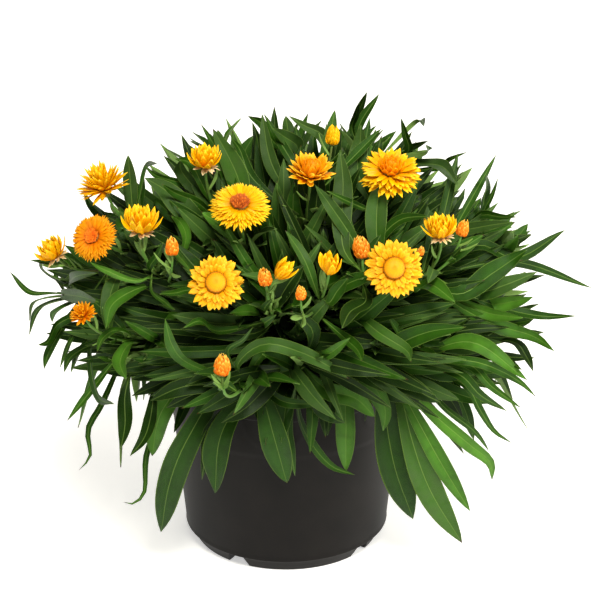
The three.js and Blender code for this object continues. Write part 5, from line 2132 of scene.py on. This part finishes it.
@dataclass
class Studio:
    """A pale lit floor, soft lights and the camera of the photograph. Lights: where, size in m, watts."""

    floor_size: float = 16.0
    floor_colour: str = "#F4F4F2"
    floor_patch: str = "#EFEFEC"
    patch_mm: float = 400.0
    world_strength: float = 0.26
    floor_glow: float = 0.52
    lamp_colour: str = "#FFFBF2"
    world_colour: str = "#FFF6E6"
    lamps: tuple[tuple[str, tuple[float, float, float], float, float], ...] = (
        ("key", (0.2, -1.6, 2.1), 0.8, 72.0),
        ("side", (2.0, -0.7, 1.0), 0.8, 34.0),
        ("back", (0.3, 1.8, 1.9), 1.2, 24.0),
    )
    lamps_aim: tuple[float, float, float] = (0.0, 0.0, 0.2)

    def floor(self) -> None:
        """The floor."""
        half = self.floor_size / 2
        mesh = bpy.data.meshes.new("floor")
        corners = [(-half, -half, 0), (half, -half, 0), (half, half, 0), (-half, half, 0)]
        mesh.from_pydata(corners, [], [(0, 1, 2, 3)])
        paint = Paint("painted_studio_floor", self.floor_colour, 0.8, specular=0.2)
        paint.coat(self.floor_patch, paint.patches(self.patch_mm))
        paint.shader.inputs["Emission Color"].default_value = linear("#FFFFFF")
        paint.shader.inputs["Emission Strength"].default_value = self.floor_glow
        mesh.materials.append(paint.done())
        linked("floor", mesh)

    def light(self) -> None:
        """The lights and the pale surroundings."""
        for name, place, size, watts in self.lamps:
            lamp = bpy.data.lights.new(name, "AREA")
            lamp.shape, lamp.size, lamp.energy = "DISK", size, watts
            lamp.color = linear(self.lamp_colour)[:3]
            rig = linked(name, lamp)
            rig.location = place
            aim = Vector(self.lamps_aim) - Vector(place)
            rig.rotation_euler = aim.to_track_quat("-Z", "Y").to_euler()
        world = bpy.data.worlds.new("pale_surroundings")
        world.use_nodes = True
        sky = world.node_tree.nodes["Background"]
        sky.inputs["Color"].default_value = linear(self.world_colour)
        sky.inputs["Strength"].default_value = self.world_strength
        bpy.context.scene.world = world
        bpy.context.scene.view_settings.view_transform = "Standard"

    def camera(self) -> None:
        """The camera."""
        lens = bpy.data.cameras.new("camera")
        lens.sensor_width = VIEW.sensor
        lens.lens = VIEW.focal_px / (2 * VIEW.middle_px) * VIEW.sensor
        rig = linked("camera", lens)
        rig.location = to_row(VIEW.eye)
        rig.rotation_euler = (math.radians(90) - VIEW.elevation, 0, 0)
        bpy.context.scene.camera = rig


def main() -> None:
    """Builds the plant, its pot and the studio."""
    logging.basicConfig(level=logging.INFO, format="%(name)s: %(message)s")
    studio = Studio()
    studio.camera()
    studio.floor()
    studio.light()
    heads = all_heads()
    Pot().build(PotFinish().make())
    Soil().build(MixFinish().make())
    stem = StemFinish().make()
    Foliage(heads).build(LeafFinish().make(), stem)
    finishes = {coat: finish.make() for coat, finish in BRACTS.items()}
    finishes["florets"] = {tint: finish.make() for tint, finish in FLORETS.items()}
    finishes["cup"] = CupFinish().make()
    Flowers(heads).build(finishes)


if __name__ == "__main__":
    main()
